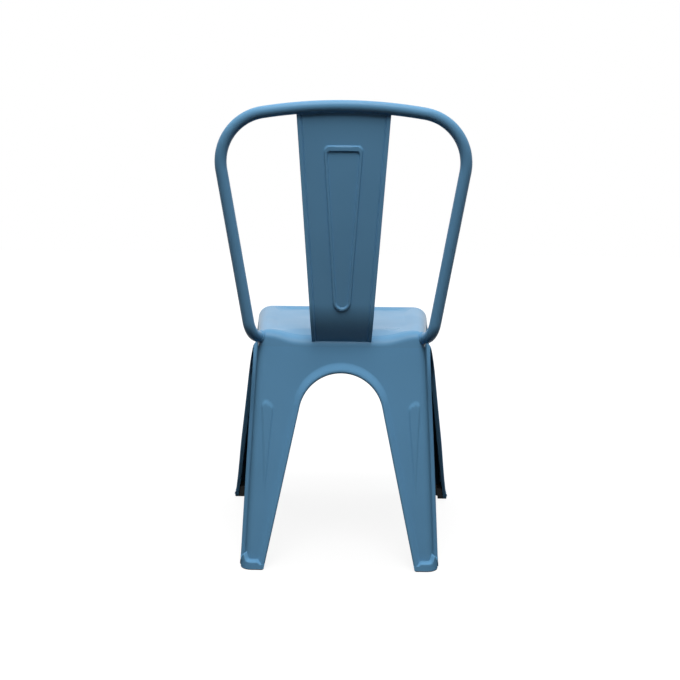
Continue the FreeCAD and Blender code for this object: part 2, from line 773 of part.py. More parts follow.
grown_seat = seat_block("seat_grown", -size("weld_size"))
grown_mass = leg_volume(value("weld_size")).fuse(grown_seat.Shape)
weld_ring = hoop_grown.Shape.common(grown_mass).cut(hoop_outside.Shape).cut(corner_mass.Shape)
solid_feature("hoop_weld_left", single(weld_ring.common(half_space(1))))
solid_feature("hoop_weld_right", single(weld_ring.common(half_space(-1))))


# Splat. A tapered sheet in the hoop's plane, hemmed along both sides, with one raised loop.
# Its lower end curves forwards and lies on the seat's rolled rear rim.
# Its own frame has Z up the hoop's plane and Y square to it, towards the rear.

def splat_rise(above_feet):
    """A height above the hoop's feet as a distance up the hoop's plane."""
    return above_feet / cosine(size("hoop_lean"))


def splat_body(name):
    body = new_body(name, Placement(
        Vector(0, hoop_foot_rear.value, hoop_foot_height.value),
        Rotation(Vector(-1, 0, 0), value("hoop_lean"))))
    body.setExpression("Placement.Base.y", hoop_foot_rear.text)
    body.setExpression("Placement.Base.z", hoop_foot_height.text)
    body.setExpression("Placement.Rotation.Angle", "dims.hoop_lean")
    return body


def splat_profile(body, front, thickness):
    """The side view of one layer of the splat: front is its front surface's place off the plane."""
    swing = size("splat_foot_angle") - size("hoop_lean")
    radius = size("splat_bend_radius") + front
    rear_radius = radius + thickness
    bend_rise = splat_rise(size("splat_bend_rise"))
    top = splat_rise(size("hoop_height"))
    turn_y = -size("splat_bend_radius")
    run = size("splat_foot_run")
    end_y, end_z = turn_y + radius * cosine(swing), bend_rise - radius * sine(swing)
    rear_end_y, rear_end_z = turn_y + rear_radius * cosine(swing), bend_rise - rear_radius * sine(swing)
    run_y, run_z = run * sine(swing), run * cosine(swing)
    sketch = new_sketch(body, body.Name + "_side", "YZ_Plane")
    return outline(sketch, [
        (turn_y + radius, top),
        (turn_y + radius, bend_rise, radius, False),
        (end_y, end_z),
        (end_y - run_y, end_z - run_z),
        (rear_end_y - run_y, rear_end_z - run_z),
        (rear_end_y, rear_end_z, rear_radius, True),
        (turn_y + rear_radius, bend_rise),
        (turn_y + rear_radius, top)])


def splat_borders(inset):
    """The splat's outline seen square on, its sides moved in."""
    top, bend = splat_rise(size("hoop_height")), splat_rise(size("splat_bend_rise"))
    foot = -size("splat_foot_run") * 2
    widths = [size(alias) - inset if inset is not None else size(alias)
              for alias in ("splat_top_half", "splat_bend_half", "splat_foot_half")]
    right = list(zip(widths, (top, bend, foot)))
    return [(-wide, rise) for wide, rise in right] + [(wide, rise) for wide, rise in reversed(right)]


def frame_round(sketch, size_around):
    """A square outline that encloses everything."""
    outline(sketch, [(-size_around, -size_around), (size_around, -size_around),
                     (size_around, size_around), (-size_around, size_around)])


splat_sheet = splat_body("splat_sheet")
pad(splat_sheet, "splat_sheet_pad", splat_profile(splat_sheet, 0.0, gauge), size("splat_top_half") * 3,
    symmetric=True)
trim = new_sketch(splat_sheet, "splat_trim", "XZ_Plane")
frame_round(trim, size("hoop_height") * 2)
outline(trim, splat_borders(None))
cut_through(splat_sheet, "splat_trimmed", trim)

splat_hem = splat_body("splat_hem")
pad(splat_hem, "splat_hem_pad", splat_profile(splat_hem, gauge, gauge), size("splat_top_half") * 3,
    symmetric=True)
hem_trim = new_sketch(splat_hem, "hem_trim", "XZ_Plane")
frame_round(hem_trim, size("hoop_height") * 2)
outline(hem_trim, splat_borders(None))
cut_through(splat_hem, "hem_outer", hem_trim)
hem_middle = outline(new_sketch(splat_hem, "hem_middle", "XZ_Plane"), splat_borders(size("splat_fold")))
cut_through(splat_hem, "hem_strips", hem_middle)


def loop_corners(inset):
    """The raised loop's outline with rounded corners: wide at its top, round at its foot."""
    top = splat_rise(size("hoop_height") - size("loop_drop")) - inset
    foot = splat_rise(size("loop_foot_rise")) + inset
    wide, narrow = size("loop_top_half") - inset, size("loop_foot_half") - inset
    corner = size("loop_corner") - inset
    return [
        (-narrow, foot + narrow, narrow, True), (0, foot, narrow, True), (narrow, foot + narrow),
        (wide, top - corner, corner, True), (wide - corner, top),
        (-(wide - corner), top, corner, True), (-wide, top - corner)]


splat_loop = splat_body("splat_loop")
loop_sketch = new_sketch(splat_loop, "loop_line", "XZ_Plane")
zero_size = size("loop_width") - size("loop_width")
outline(loop_sketch, loop_corners(zero_size))
outline(loop_sketch, loop_corners(size("loop_width")))
pad(splat_loop, "loop_pad", loop_sketch, gauge + size("loop_rise"), reverse=True)

splat_pressing = doc.addObject("Part::MultiFuse", "splat_pressing")
splat_pressing.Shapes = [splat_sheet, splat_hem, splat_loop]
splat_below = boolean("Cut", "splat_below", splat_pressing, hoop_outside)
back_splat = boolean("Cut", "back_splat", splat_below, corner_mass)
doc.recompute()


# Splat welds. One bead lies under the hoop's crown in front of the splat, one under its lower edge.

def splat_top_weld():
    """A round bead along the front of the splat's upper edge, cut to the tube and the sheet."""
    reach = value("splat_top_half") - 2 * value("splat_fold")
    radius = value("weld_size")
    ahead_of_plane = -radius * 0.85
    drop = value("tube_diameter") / 2 + radius * 0.4
    arc_radius = value("hoop_crown_radius") - drop
    low = hoop_top.value - drop - arc_radius * (1 - math.cos(reach / arc_radius))
    start = lean(-reach, low, ahead_of_plane)
    middle = lean(0, hoop_top.value - drop, ahead_of_plane)
    line = Part.Arc(start, middle, lean(reach, low, ahead_of_plane)).toShape()
    ring = Part.Wire(Part.makeCircle(radius, start, line.tangentAt(line.FirstParameter)))
    bead = Part.Wire(line).makePipeShell([ring], True, False)
    return single(bead.cut(hoop_outside.Shape).cut(back_splat.Shape))


def splat_foot_weld():
    """Two short beads on the seat's rear rim, along the front of the splat's lower edge."""
    radius = value("weld_size")
    edge = min((vertex.Point for vertex in back_splat.Shape.Vertexes), key=lambda point: point.y)
    beads = []
    for side in (-1, 1):
        middle = side * value("splat_foot_half") / 2
        half_length = value("stitch_length") / 4
        start = Vector(middle - half_length, edge.y, edge.z)
        bead = Part.makeCylinder(radius, 2 * half_length, start, Vector(1, 0, 0))
        beads.append(single(bead.cut(back_splat.Shape).cut(corner_mass.Shape)))
    return Part.makeCompound(beads)


solid_feature("splat_top_weld", splat_top_weld())
solid_feature("splat_foot_weld", splat_foot_weld())


# Crossed brace. Two pressed channels run corner to corner under the seat, back to back,
# with one rivet where they cross and a rubber stacking bumper on each arm.

leg_inside = solid_feature("leg_inside", lap_inside)


def brace_line():
    """The crossing point of the diagonals at the brace's height, and the +X arm's angle to the rear."""
    height = brace_height.value
    front, rear = corner_at("front", height), corner_at("rear", height)
    share = rear.x / (rear.x + front.x)
    crossing_y = rear.y + (front.y - rear.y) * share
    return crossing_y, math.degrees(math.atan2(rear.y - crossing_y, rear.x))


crossing_y, brace_angle = brace_line()


def brace(name, hand, up):
    """A channel along one diagonal, open upwards or downwards, its web on the touching plane."""
    body = new_body(name + "_channel", Placement(
        Vector(0, crossing_y, brace_height.value), Rotation(Vector(0, 0, 1), hand * brace_angle)))
    half, wall, deep = size("brace_width") / 2, size("brace_gauge"), size("brace_depth")
    sign = 1 if up else -1

    def level(quantity):
        return quantity if sign > 0 else -quantity
    section = outline(new_sketch(body, name + "_section", "YZ_Plane"), [
        (-half, 0), (half, 0), (half, level(deep)), (half - wall, level(deep)),
        (half - wall, level(wall)), (-(half - wall), level(wall)),
        (-(half - wall), level(deep)), (-half, level(deep))])
    pad(body, name + "_pad", section, size("foot_front_half") * 3, symmetric=True)
    holes = new_sketch(body, name + "_holes", "XY_Plane")
    circle(holes, 0, 0, size("rivet_diameter"))
    circle(holes, size("bumper_spread"), 0, size("bumper_neck"))
    circle(holes, -size("bumper_spread"), 0, size("bumper_neck"))
    cut_through(body, name + "_drilled", holes)
    return boolean("Common", name, body, leg_inside)


brace_upper = brace("brace_upper", 1, True)
brace_lower = brace("brace_lower", -1, False)


def turned_body(name, place, corners):
    """A body of revolution about its own Z axis, from an outline of (radius, height) corners."""
    body = new_body(name, Placement(place, Rotation()))
    sketch = outline(new_sketch(body, name + "_outline", "XZ_Plane"), corners)
    turned(body, name + "_turned", sketch, "V_Axis")
    return body


web = size("brace_gauge")
shank, head, head_high = size("rivet_diameter") / 2, size("rivet_head") / 2, size("rivet_head_height")
brace_rivet = turned_body("brace_rivet", Vector(0, crossing_y, brace_height.value), [
    (0, -(web + head_high)), (shank, -(web + head_high)), (head, -web), (shank, -web),
    (shank, web), (head, web), (shank, web + head_high), (0, web + head_high)])

neck, bumper, barb = size("bumper_neck") / 2, size("bumper_diameter") / 2, size("bumper_barb") / 2
drop, barb_high = size("bumper_drop"), size("bumper_barb_height")


def bumper_body(name, hand, arm, up):
    """A stacking bumper under one arm, held by a barb on the far side of the channel's web."""
    angle = math.radians(hand * brace_angle)
    reach = arm * value("bumper_spread")
    place = Vector(reach * math.cos(angle), crossing_y + reach * math.sin(angle), brace_height.value)
    low, high = (0, web) if up else (-web, 0)
    return turned_body(name, place, [
        (0, -drop), (bumper - web, -drop), (bumper, -(drop - web)),
        (bumper, low), (neck, low), (neck, high),
        (barb, high), (neck, high + barb_high), (0, high + barb_high)])


bumper_body("bumper_rear_left", 1, 1, True)
bumper_body("bumper_front_right", 1, -1, True)
bumper_body("bumper_rear_right", -1, -1, False)
bumper_body("bumper_front_left", -1, 1, False)


# Seat weld. Short stitches inside the seam tie the seat pan to the four leg panels.

def seat_stitches():
    length, radius = value("stitch_length"), value("weld_size")
    front_y, rear_y = -value("seat_front_edge") + SHEET, value("seat_rear_edge") - SHEET
    stitches = []
    for y in (front_y, rear_y):
        stitch = Part.makeCylinder(radius, length, seat_point(-length / 2, y), Vector(1, 0, 0))
        stitches.append(stitch)
    slope = (value("seat_rear_half") - value("seat_front_half")) / (
        value("seat_rear_edge") + value("seat_front_edge"))
    for side in (-1, 1):
        ends = []
        for y in (-length / 2, length / 2):
            half = value("seat_front_half") + slope * (y + value("seat_front_edge")) - SHEET
            ends.append(seat_point(side * half, y))
        stitches.append(Part.makeCylinder(radius, length, ends[0], ends[1] - ends[0]))
    inside_seat = Part.makeBox(2 * REACH, 2 * REACH, value("rim_height"), Vector(
        -REACH, -REACH, joint_height.value))
    room = skin_inside.fuse(inside_seat)
    wall = skin.cut(skin_inside)
    return Part.makeCompound([
        single(stitch.common(room).cut(seat_pan.Shape).cut(wall)) for stitch in stitches])


solid_feature("seat_weld", seat_stitches())

doc.recompute()

NODES = [
    "seat_pan", "front_leg_panel", "rear_leg_panel", "side_leg_panel_left", "side_leg_panel_right",
    "foot_front_left", "foot_front_right", "foot_rear_left", "foot_rear_right",
    "back_hoop", "hoop_weld_left", "hoop_weld_right", "back_splat", "splat_top_weld", "splat_foot_weld",
    "brace_upper", "brace_lower", "brace_rivet",
    "bumper_front_left", "bumper_front_right", "bumper_rear_left", "bumper_rear_right", "seat_weld",
]

for item in doc.Objects:
    if "Invalid" in item.State or "Error" in item.State:
        raise RuntimeError(f"{item.Label} failed: {item.State}")

os.makedirs("parts", exist_ok=True)
for name in NODES:
    item = doc.getObject(name)
    if item.Shape.isNull() or not item.Shape.isValid():
        raise RuntimeError(f"{name} has no valid shape")
    item.Label = name
for name in NODES:
    shape = doc.getObject(name).Shape
    shape.exportStep(f"parts/{name}.step")
    print(name, len(shape.Solids), "solids", round(shape.Volume), "mm3")
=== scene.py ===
import math

import bpy
import numpy as np
from mathutils import Matrix, Vector


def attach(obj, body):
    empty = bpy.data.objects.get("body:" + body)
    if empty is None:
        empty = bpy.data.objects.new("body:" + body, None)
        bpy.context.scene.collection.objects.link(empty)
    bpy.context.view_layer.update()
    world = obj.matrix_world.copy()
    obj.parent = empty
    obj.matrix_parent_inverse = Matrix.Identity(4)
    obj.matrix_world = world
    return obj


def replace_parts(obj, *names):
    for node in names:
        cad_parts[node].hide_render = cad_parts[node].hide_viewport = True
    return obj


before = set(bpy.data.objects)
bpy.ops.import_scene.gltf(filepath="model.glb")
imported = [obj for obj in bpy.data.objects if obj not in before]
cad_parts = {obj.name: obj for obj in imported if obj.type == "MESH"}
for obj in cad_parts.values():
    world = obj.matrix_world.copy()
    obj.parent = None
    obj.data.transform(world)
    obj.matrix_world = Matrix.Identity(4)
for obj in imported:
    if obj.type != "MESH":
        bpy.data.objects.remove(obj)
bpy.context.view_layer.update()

# Rear leg panel.
# One steel sheet, pressed with an arch, folded round both rear leg corners and powder coated
# in blue. A raised bead runs round the arch, a cuff stands out at each foot, and a
# tapered rib stiffens each leg. It is welded to the side panels behind the folded corners.
# Sizes are in millimetres in the chair's frame: the sitter faces -Y, and the floor is Z = 0.

SHEET = 1.2
SEAM_HEIGHT = 406.6
PANEL_LIFT = 1.5
FRONT_FOOT = np.array([233.0, -244.5, 0.0])
FRONT_TOP = np.array([182.5, -192.0, SEAM_HEIGHT])
REAR_FOOT = np.array([175.0, 244.5, 0.0])
REAR_TOP = np.array([155.0, 170.0, SEAM_HEIGHT])
REAR_CORNER_RADIUS = 15.0
FRONT_CORNER_RADIUS = 28.0
FRONT_FOOT_RADIUS = 18.0


def leg_section(end, share):
    """The level section through the legs at a share of their height: its sharp corner at the front
    or rear end, that corner's radius, the angle turned round it, and where its face stops being flat."""
    share = np.asarray(share, float)
    front = FRONT_FOOT + (FRONT_TOP - FRONT_FOOT) * share[..., None]
    rear = REAR_FOOT + (REAR_TOP - REAR_FOOT) * share[..., None]
    splay = np.arctan((front[..., 0] - rear[..., 0]) / (rear[..., 1] - front[..., 1]))
    if end == "rear":
        corner, radius, turn = rear, np.full_like(share, REAR_CORNER_RADIUS), math.pi / 2 - splay
    else:
        radius = FRONT_FOOT_RADIUS + (FRONT_CORNER_RADIUS - FRONT_FOOT_RADIUS) * share
        corner, turn = front, math.pi / 2 + splay
    return corner, radius, turn, corner[..., 0] - radius * np.tan(turn / 2)


def wrapped_face(end, run, share, lift):
    """Front or rear panel. run is the distance along the section from its middle: straight, then an
    arc round the corner, then straight along the side. lift moves the point out along the normal."""
    corner, radius, turn, flat = leg_section(end, share)
    angle = np.clip((np.abs(run) - flat) / radius, 0, turn)
    beyond = np.maximum(np.abs(run) - flat - radius * turn, 0)
    x = np.minimum(np.abs(run), flat) + (radius + lift) * np.sin(angle) + beyond * np.cos(turn)
    inward = radius - (radius + lift) * np.cos(angle) + beyond * np.sin(turn)
    point = corner + np.zeros(np.shape(run) + (3,))
    point[..., 0] = np.where(run < 0, -1, 1) * x
    point[..., 1] += inward * (-1 if end == "rear" else 1)
    return point


def fold_end(end, share, setback):
    """The run at which the folded sheet has come this far in from the front or rear face: round the
    arc until radius (1 - cos angle) is the setback, then straight on."""
    corner, radius, turn, flat = leg_section(end, share)
    angle = np.arccos(np.clip(1 - setback / radius, np.cos(turn), 1))
    return flat + radius * angle + np.maximum(setback - radius * (1 - np.cos(turn)), 0) / np.sin(turn)


def arch(crown, radius, opening, crown_band=0.0, leg_band=0.0):
    """An arch as a circle with two tangent legs, from its crown's height, its radius and its half
    width at the floor, moved out by a band's widths at the crown and on the legs. Gives the slope of
    its legs, the height of its centre, its radius and its half width at the floor."""
    centre = crown - radius
    slope = math.acos(radius / math.hypot(opening, centre)) - math.atan2(centre, opening)
    wide = (radius + leg_band - (radius + crown_band) * math.sin(slope)) / (1 - math.sin(slope))
    return slope, crown + crown_band - wide, wide, opening + leg_band / math.cos(slope)


ARC_END = 0.34


def arch_line(form, share, floor):
    """Half an arch from crown (share 0) to foot (share 1): an arc up to ARC_END, then a straight leg."""
    slope, centre, radius, opening = form
    angle = math.pi / 2 + (slope - math.pi / 2) * np.clip(share / ARC_END, 0, 1)
    down = np.clip((share - ARC_END) / (1 - ARC_END), 0, 1)
    arc_u, arc_z = radius * np.cos(angle), centre + radius * np.sin(angle)
    foot_u = opening - floor * math.tan(slope)
    return arc_u + (foot_u - arc_u) * down, arc_z + (floor - arc_z) * down


def smooth(value):
    """0 below 0, 1 above 1, and 3t2 - 2t3 between."""
    value = np.clip(value, 0, 1)
    return value * value * (3 - 2 * value)


BEAD_RISE = 7.2
BEAD_START = 0.06
BEAD_TOP = 0.8
BEAD_GROOVE = 0.35
GROOVE_HALF = 0.05
EDGE_ROLL = 0.28
EDGE_POWER = 2.2
LIP_DEPTH = 5.0


def bead(share):
    """The raised bead round an arch, carried along its line. share 0 is its outer groove, 1 the
    opening's edge, and above 1 the lip that turns in. Gives the way across in band widths, and the
    lift: a shallow groove, a slope that rises to BEAD_TOP, and a tight roll over the edge."""
    across = np.clip(share, 0, 1)
    groove = BEAD_GROOVE * np.exp(-((across - GROOVE_HALF) / GROOVE_HALF) ** 2)
    slope = BEAD_RISE * smooth((across - BEAD_START) / (BEAD_TOP - BEAD_START)) - groove
    roll = BEAD_RISE * EDGE_ROLL * np.clip((across - BEAD_TOP) / (1 - BEAD_TOP), 0, 1) ** EDGE_POWER
    return across, slope - roll - LIP_DEPTH * np.clip(share - 1, 0, 1)


RIB_RISE = 2.4
RIB_RADIUS = 11.5
RIB_TOP = 305.7
RIB_LENGTH = 190.0
RIB_SLANT = 0.35
RIB_EDGE = 3.2
RIB_FADE = 0.6


def rib(u, z, top_u, tip_u):
    """The tapered rib: its round top slants up outwards, its edge is steep, and it is drawn down to
    a point, where it fades. The lift follows the distance inside a circle that shrinks downwards."""
    middle_z, tip_z = RIB_TOP - RIB_RADIUS, RIB_TOP - RIB_LENGTH
    down = np.clip((middle_z - z) / (middle_z - tip_z), 0, 1)
    centre_u = top_u + (tip_u - top_u) * down
    above = np.maximum(z - middle_z - RIB_SLANT * (u - centre_u), 0)
    inside = RIB_RADIUS * (1 - down) - np.hypot(u - centre_u, above)
    return RIB_RISE * smooth(inside / RIB_EDGE) * (1 - RIB_FADE * down)


CUFF_HEIGHT = 12.0
CUFF_PLATEAU = 3.5
CUFF_PLATEAU_RUN = 8.0
CUFF_HORN = 12.0
CUFF_HORN_HALF = 4.2
CUFF_HORN_PLACE = 0.25
CUFF_SOFT = 5.2


def cuff(z, ledge):
    """The foot's cuff: it stands out below the ledge's height, with a soft step."""
    return BEAD_RISE * smooth((ledge - z) / CUFF_SOFT + 0.5)


MILLIMETRES = 1000
HARD_EDGE = math.radians(48)


def mesh_piece(name, points, faces, material):
    """A smooth mesh from points in millimetres and four-sided faces, with its hard edges kept hard."""
    mesh = bpy.data.meshes.new(name)
    mesh.from_pydata((points / MILLIMETRES).tolist(), [], faces.tolist())
    mesh.polygons.foreach_set("use_smooth", np.ones(len(mesh.polygons), bool))
    mesh.set_sharp_from_angle(angle=HARD_EDGE)
    mesh.validate()
    mesh.update()
    piece = bpy.data.objects.new(name, mesh)
    bpy.context.collection.objects.link(piece)
    mesh.materials.append(material)
    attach(piece, "root")
    return piece


def cells(index):
    """The four-sided cells of a grid of point numbers."""
    return np.stack([index[:-1, :-1], index[:-1, 1:], index[1:, 1:], index[1:, :-1]], -1).reshape(-1, 4)


def grid_normals(points, closed):
    """Unit normals of a grid of points: the cross product of its two central differences."""
    across = np.gradient(points, axis=0)
    if closed:
        along = np.roll(points, -1, axis=1) - np.roll(points, 1, axis=1)
    else:
        along = np.gradient(points, axis=1)
    normal = np.cross(across, along)
    return normal / np.maximum(np.linalg.norm(normal, axis=-1, keepdims=True), 1e-9)


def sheet_piece(name, outer, material, inner_material=None, wall=SHEET, closed=False, flip=False):
    """A sheet: the outer grid, a second one a wall's thickness behind it along the normals, and the
    strips that close their borders. An inner material coats the second grid, and flip turns a grid
    that is wound the other way."""
    rows, columns = outer.shape[:2]
    normal = grid_normals(outer, closed) * (-1 if flip else 1)
    inner = outer - normal * (wall[..., None] if isinstance(wall, np.ndarray) else wall)
    index = np.arange(rows * columns).reshape(rows, columns)
    if closed:
        index = np.hstack([index, index[:, :1]])
    back = index + rows * columns
    rims = [cells(np.vstack([back[0], index[0]])), cells(np.vstack([index[-1], back[-1]]))]
    if not closed:
        rims.append(cells(np.column_stack([back[:, 0], index[:, 0]])))
        rims.append(cells(np.column_stack([index[:, -1], back[:, -1]])))
    faces = np.vstack([cells(index), cells(back)[:, ::-1]] + rims)
    if flip:
        faces = faces[:, ::-1]
    piece = mesh_piece(name, np.vstack([outer.reshape(-1, 3), inner.reshape(-1, 3)]), faces, material)
    if inner_material:
        piece.data.materials.append(inner_material)
        cell = (rows - 1) * (columns if closed else columns - 1)
        slots = np.zeros(len(piece.data.polygons), np.int32)
        slots[cell:2 * cell] = 1
        piece.data.polygons.foreach_set("material_index", slots)
    return piece


TONE_SCALE = 7
TONE_DRIFT = 0.06
GLOSS_SCALE = 16
DRIFT_FROM = 0.2
DRIFT_TO = 0.8
ROUGH_LOW = 0.27
ROUGH_HIGH = 0.34


def powder_coat(name, tone, sheen):
    """Powder coat: a slow drift of tone, a slightly uneven gloss and a given sheen."""
    material = bpy.data.materials.new(name)
    material.use_nodes = True
    nodes, links = material.node_tree.nodes, material.node_tree.links
    shader = nodes["Principled BSDF"]
    place = nodes.new("ShaderNodeTexCoord")

    def drift(scale, first, last):
        """A slow noise that runs from one colour to another."""
        pattern = nodes.new("ShaderNodeTexNoise")
        pattern.inputs["Scale"].default_value = scale
        pattern.inputs["Detail"].default_value = 1
        links.new(place.outputs["Object"], pattern.inputs["Vector"])
        spread = nodes.new("ShaderNodeValToRGB")
        spread.color_ramp.elements[0].position = DRIFT_FROM
        spread.color_ramp.elements[1].position = DRIFT_TO
        spread.color_ramp.elements[0].color = (*first, 1)
        spread.color_ramp.elements[1].color = (*last, 1)
        links.new(pattern.outputs["Fac"], spread.inputs["Fac"])
        return spread.outputs["Color"]

    dark, light = ([channel * share for channel in tone] for share in (1 - TONE_DRIFT, 1 + TONE_DRIFT))
    links.new(drift(TONE_SCALE, dark, light), shader.inputs["Base Color"])
    links.new(drift(GLOSS_SCALE, [ROUGH_LOW] * 3, [ROUGH_HIGH] * 3), shader.inputs["Roughness"])
    shader.inputs["Specular IOR Level"].default_value = sheen
    return material


# The coat has a sheen on the seat and the back and none on the legs; the legs' blue carries painted light,
# and their inner faces painted shade.
BLUE = (0.148, 0.362, 0.59)
# Painted light: the legs' blue is this much lighter than the seat's, standing in for the sheen they lack.
LEG_PAINTED_LIGHT_TONE = 1.08
# Painted shade: the inner faces of the leg sheets get the blue at this share, for the shade inside the legs.
PAINTED_SHADE_TONE = 0.3
SATIN_SHEEN = 0.13
blue_coat = powder_coat("blue_powder_coat", BLUE, SATIN_SHEEN)
# A lighter copy of the blue with no sheen: painted light in place of the legs' reflection.
lightened_leg_coat = powder_coat("matt_coat_painted_lighter", [channel * LEG_PAINTED_LIGHT_TONE for channel in BLUE], 0.0)
# A much darker copy of the blue: painted shade for the shaded insides of the legs.
painted_shade_coat = powder_coat("inside_painted_shade", [channel * PAINTED_SHADE_TONE for channel in BLUE], 0.0)

ARC_COLUMNS = 56
LEG_COLUMNS = 80
CUFF_COLUMNS = 36
CUFF_SHARE = 0.9
LIP_ROWS = 5
EDGE_ROWS = 10
BEAD_ROWS = 22
FIELD_ROWS = 64


def arch_shares():
    """Shares along half an arch, from 0 at the crown to 1 at the foot, crowded at the foot's cuff."""
    leg_part = np.linspace(0, CUFF_SHARE, LEG_COLUMNS)[:-1]
    cuff_part = np.linspace(CUFF_SHARE, 1, CUFF_COLUMNS)
    straight = ARC_END + (1 - ARC_END) * np.concatenate([leg_part, cuff_part])
    return np.concatenate([np.linspace(0, ARC_END, ARC_COLUMNS)[:-1], straight])


def bead_shares():
    """Shares across the bead from the lip's edge to the outer groove."""
    lip = np.linspace(2, 1, LIP_ROWS)[:-1]
    edge = np.linspace(1, BEAD_TOP, EDGE_ROWS)[:-1]
    return np.concatenate([lip, edge, np.linspace(BEAD_TOP, 0, BEAD_ROWS)])


# An arch is its crown's height, its radius and its half opening at the floor.
REAR_ARCH = (359.4, 78.5, 140.2)
CROWN_BAND = 21.0
LEG_BAND = 15.5
TOP_CORNER = 0.2
FOLD_SETBACK = 23.0
SEAM_DIP = 0.8
SEAM_DIP_FROM = 8.5
SEAM_DIP_RUN = 3.0
SEAM_DIP_FADE = 12.0


def seam_dip(z):
    """How far the sheets sink beside a welded seam, fading out under the seat."""
    return SEAM_DIP * smooth((SEAM_HEIGHT - z) / SEAM_DIP_FADE)


def folded_panel(name, end, sizes, rib_top_u, rib_tip_u):
    """A front or rear panel. Columns follow half the arch from crown to foot, mirrored to the other
    half. Rows run from the lip over the bead to its groove, then straight to the panel's border:
    point = groove + (edge - groove) across, and groove + (border - groove) field."""
    share = arch_shares()
    inner_u, inner_z = arch_line(arch(*sizes), share, PANEL_LIFT)
    groove_u, groove_z = arch_line(arch(*sizes, CROWN_BAND, LEG_BAND), share, PANEL_LIFT)
    down = np.interp(share, [0, TOP_CORNER, ARC_END, 1], [0, 0, 1, 2])
    groove_end = groove_z[np.searchsorted(share, ARC_END)]
    border_z = np.interp(down, [0, 1, 2], [SEAM_HEIGHT, groove_end, PANEL_LIFT])
    lower = share > ARC_END
    border_z[lower] = groove_z[lower]
    border_u = fold_end(end, border_z / SEAM_HEIGHT, FOLD_SETBACK) * np.clip(share / TOP_CORNER, 0, 1)

    across, bead_lift = bead(bead_shares())
    across = across[:, None]
    field = np.linspace(0, 1, FIELD_ROWS)[1:, None]
    u = np.vstack([groove_u + (inner_u - groove_u) * across, groove_u + (border_u - groove_u) * field])
    z = np.vstack([groove_z + (inner_z - groove_z) * across, groove_z + (border_z - groove_z) * field])
    lift = np.zeros_like(u)
    lift[:len(across)] = bead_lift[:, None]

    corner = fold_end(end, z / SEAM_HEIGHT, FOLD_SETBACK) - FOLD_SETBACK * (1 - CUFF_HORN_PLACE)
    horn = CUFF_HORN * np.exp(-((u - corner) / CUFF_HORN_HALF) ** 2)
    plateau = CUFF_PLATEAU * smooth((u - groove_u + CUFF_PLATEAU_RUN) / CUFF_PLATEAU_RUN)
    low = cuff(z, CUFF_HEIGHT + horn + plateau)
    low[:LIP_ROWS - 1] = -np.inf
    lift = np.maximum(lift, low)
    lift[len(across):] = np.maximum(lift[len(across):], rib(u, z, rib_top_u, rib_tip_u)[len(across):])

    u = np.hstack([-u[:, :0:-1], u])
    z = np.hstack([z[:, :0:-1], z])
    lift = np.hstack([lift[:, :0:-1], lift])
    seam = fold_end(end, z / SEAM_HEIGHT, FOLD_SETBACK)
    lift = lift - seam_dip(z) * smooth((np.abs(u) - seam + SEAM_DIP_FROM) / SEAM_DIP_RUN)
    outer = wrapped_face(end, u, z / SEAM_HEIGHT, lift)
    # Outer faces take the legs' lighter blue, which is painted light; inner faces take the darker copy, which
    # is painted shade.
    return sheet_piece(name, outer, lightened_leg_coat, painted_shade_coat, flip=(end == "front"))


REAR_RIB_TOP_U = 136.6
REAR_RIB_TIP_U = 140.8

rear_panel = folded_panel("rear_leg_sheet", "rear", REAR_ARCH, REAR_RIB_TOP_U, REAR_RIB_TIP_U)
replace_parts(rear_panel, "rear_leg_panel")


# Front leg panel.
# The same pressing as the rear one, made wider: its arch is broader and its legs spread more.
# It is folded round the front leg corners and welded along the same kind of seam.

FRONT_ARCH = (362.0, 100.0, 195.0)
FRONT_RIB_TOP_U = 172.5
FRONT_RIB_TIP_U = 190.6

front_panel = folded_panel("front_leg_sheet", "front", FRONT_ARCH, FRONT_RIB_TOP_U, FRONT_RIB_TIP_U)
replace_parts(front_panel, "front_leg_panel")


# Side leg panels.
# Two pressings, one the mirror image of the other, that close the sides between the folded
# corners. Each is lapped behind those corners and welded there. Their beads stand proud of the
# legs, and show edge-on from behind as a narrow strip.

SIDE_ARCH = (372.0, 118.0, 206.5)
SIDE_FIELD_ROWS = 60
SIDE_SHOULDER = 0.72
SIDE_DIP_SLOPE = 6
FULL_BEAD = 0.32
FULL_BEAD_FROM = 40.0
FULL_BEAD_RUN = 120.0
LAP_WIDTH = 12.0
LAP_FOOT = 40.0
LAP_GAP = 0.1
LAP_ROWS = 60
LAP_COLUMNS = 13


def side_face(y, z, lift):
    """The side, which follows the rounded corners at both ends, at a place seen square on: Y and Z."""
    share = z / SEAM_HEIGHT
    front_y = FRONT_FOOT[1] + (FRONT_TOP[1] - FRONT_FOOT[1]) * share
    rear_y = REAR_FOOT[1] + (REAR_TOP[1] - REAR_FOOT[1]) * share
    ahead = wrapped_face("front", fold_end("front", share, np.maximum(y - front_y, 0)), share, lift)
    behind = wrapped_face("rear", fold_end("rear", share, np.maximum(rear_y - y, 0)), share, lift)
    return np.where((y < 0)[..., None], ahead, behind)


def side_border(z, end):
    """Where a fold's seam lies on the side at this height: the leg's end less the setback."""
    foot, top = (REAR_FOOT, REAR_TOP) if end > 0 else (FRONT_FOOT, FRONT_TOP)
    return foot[1] + (top[1] - foot[1]) * z / SEAM_HEIGHT - end * FOLD_SETBACK


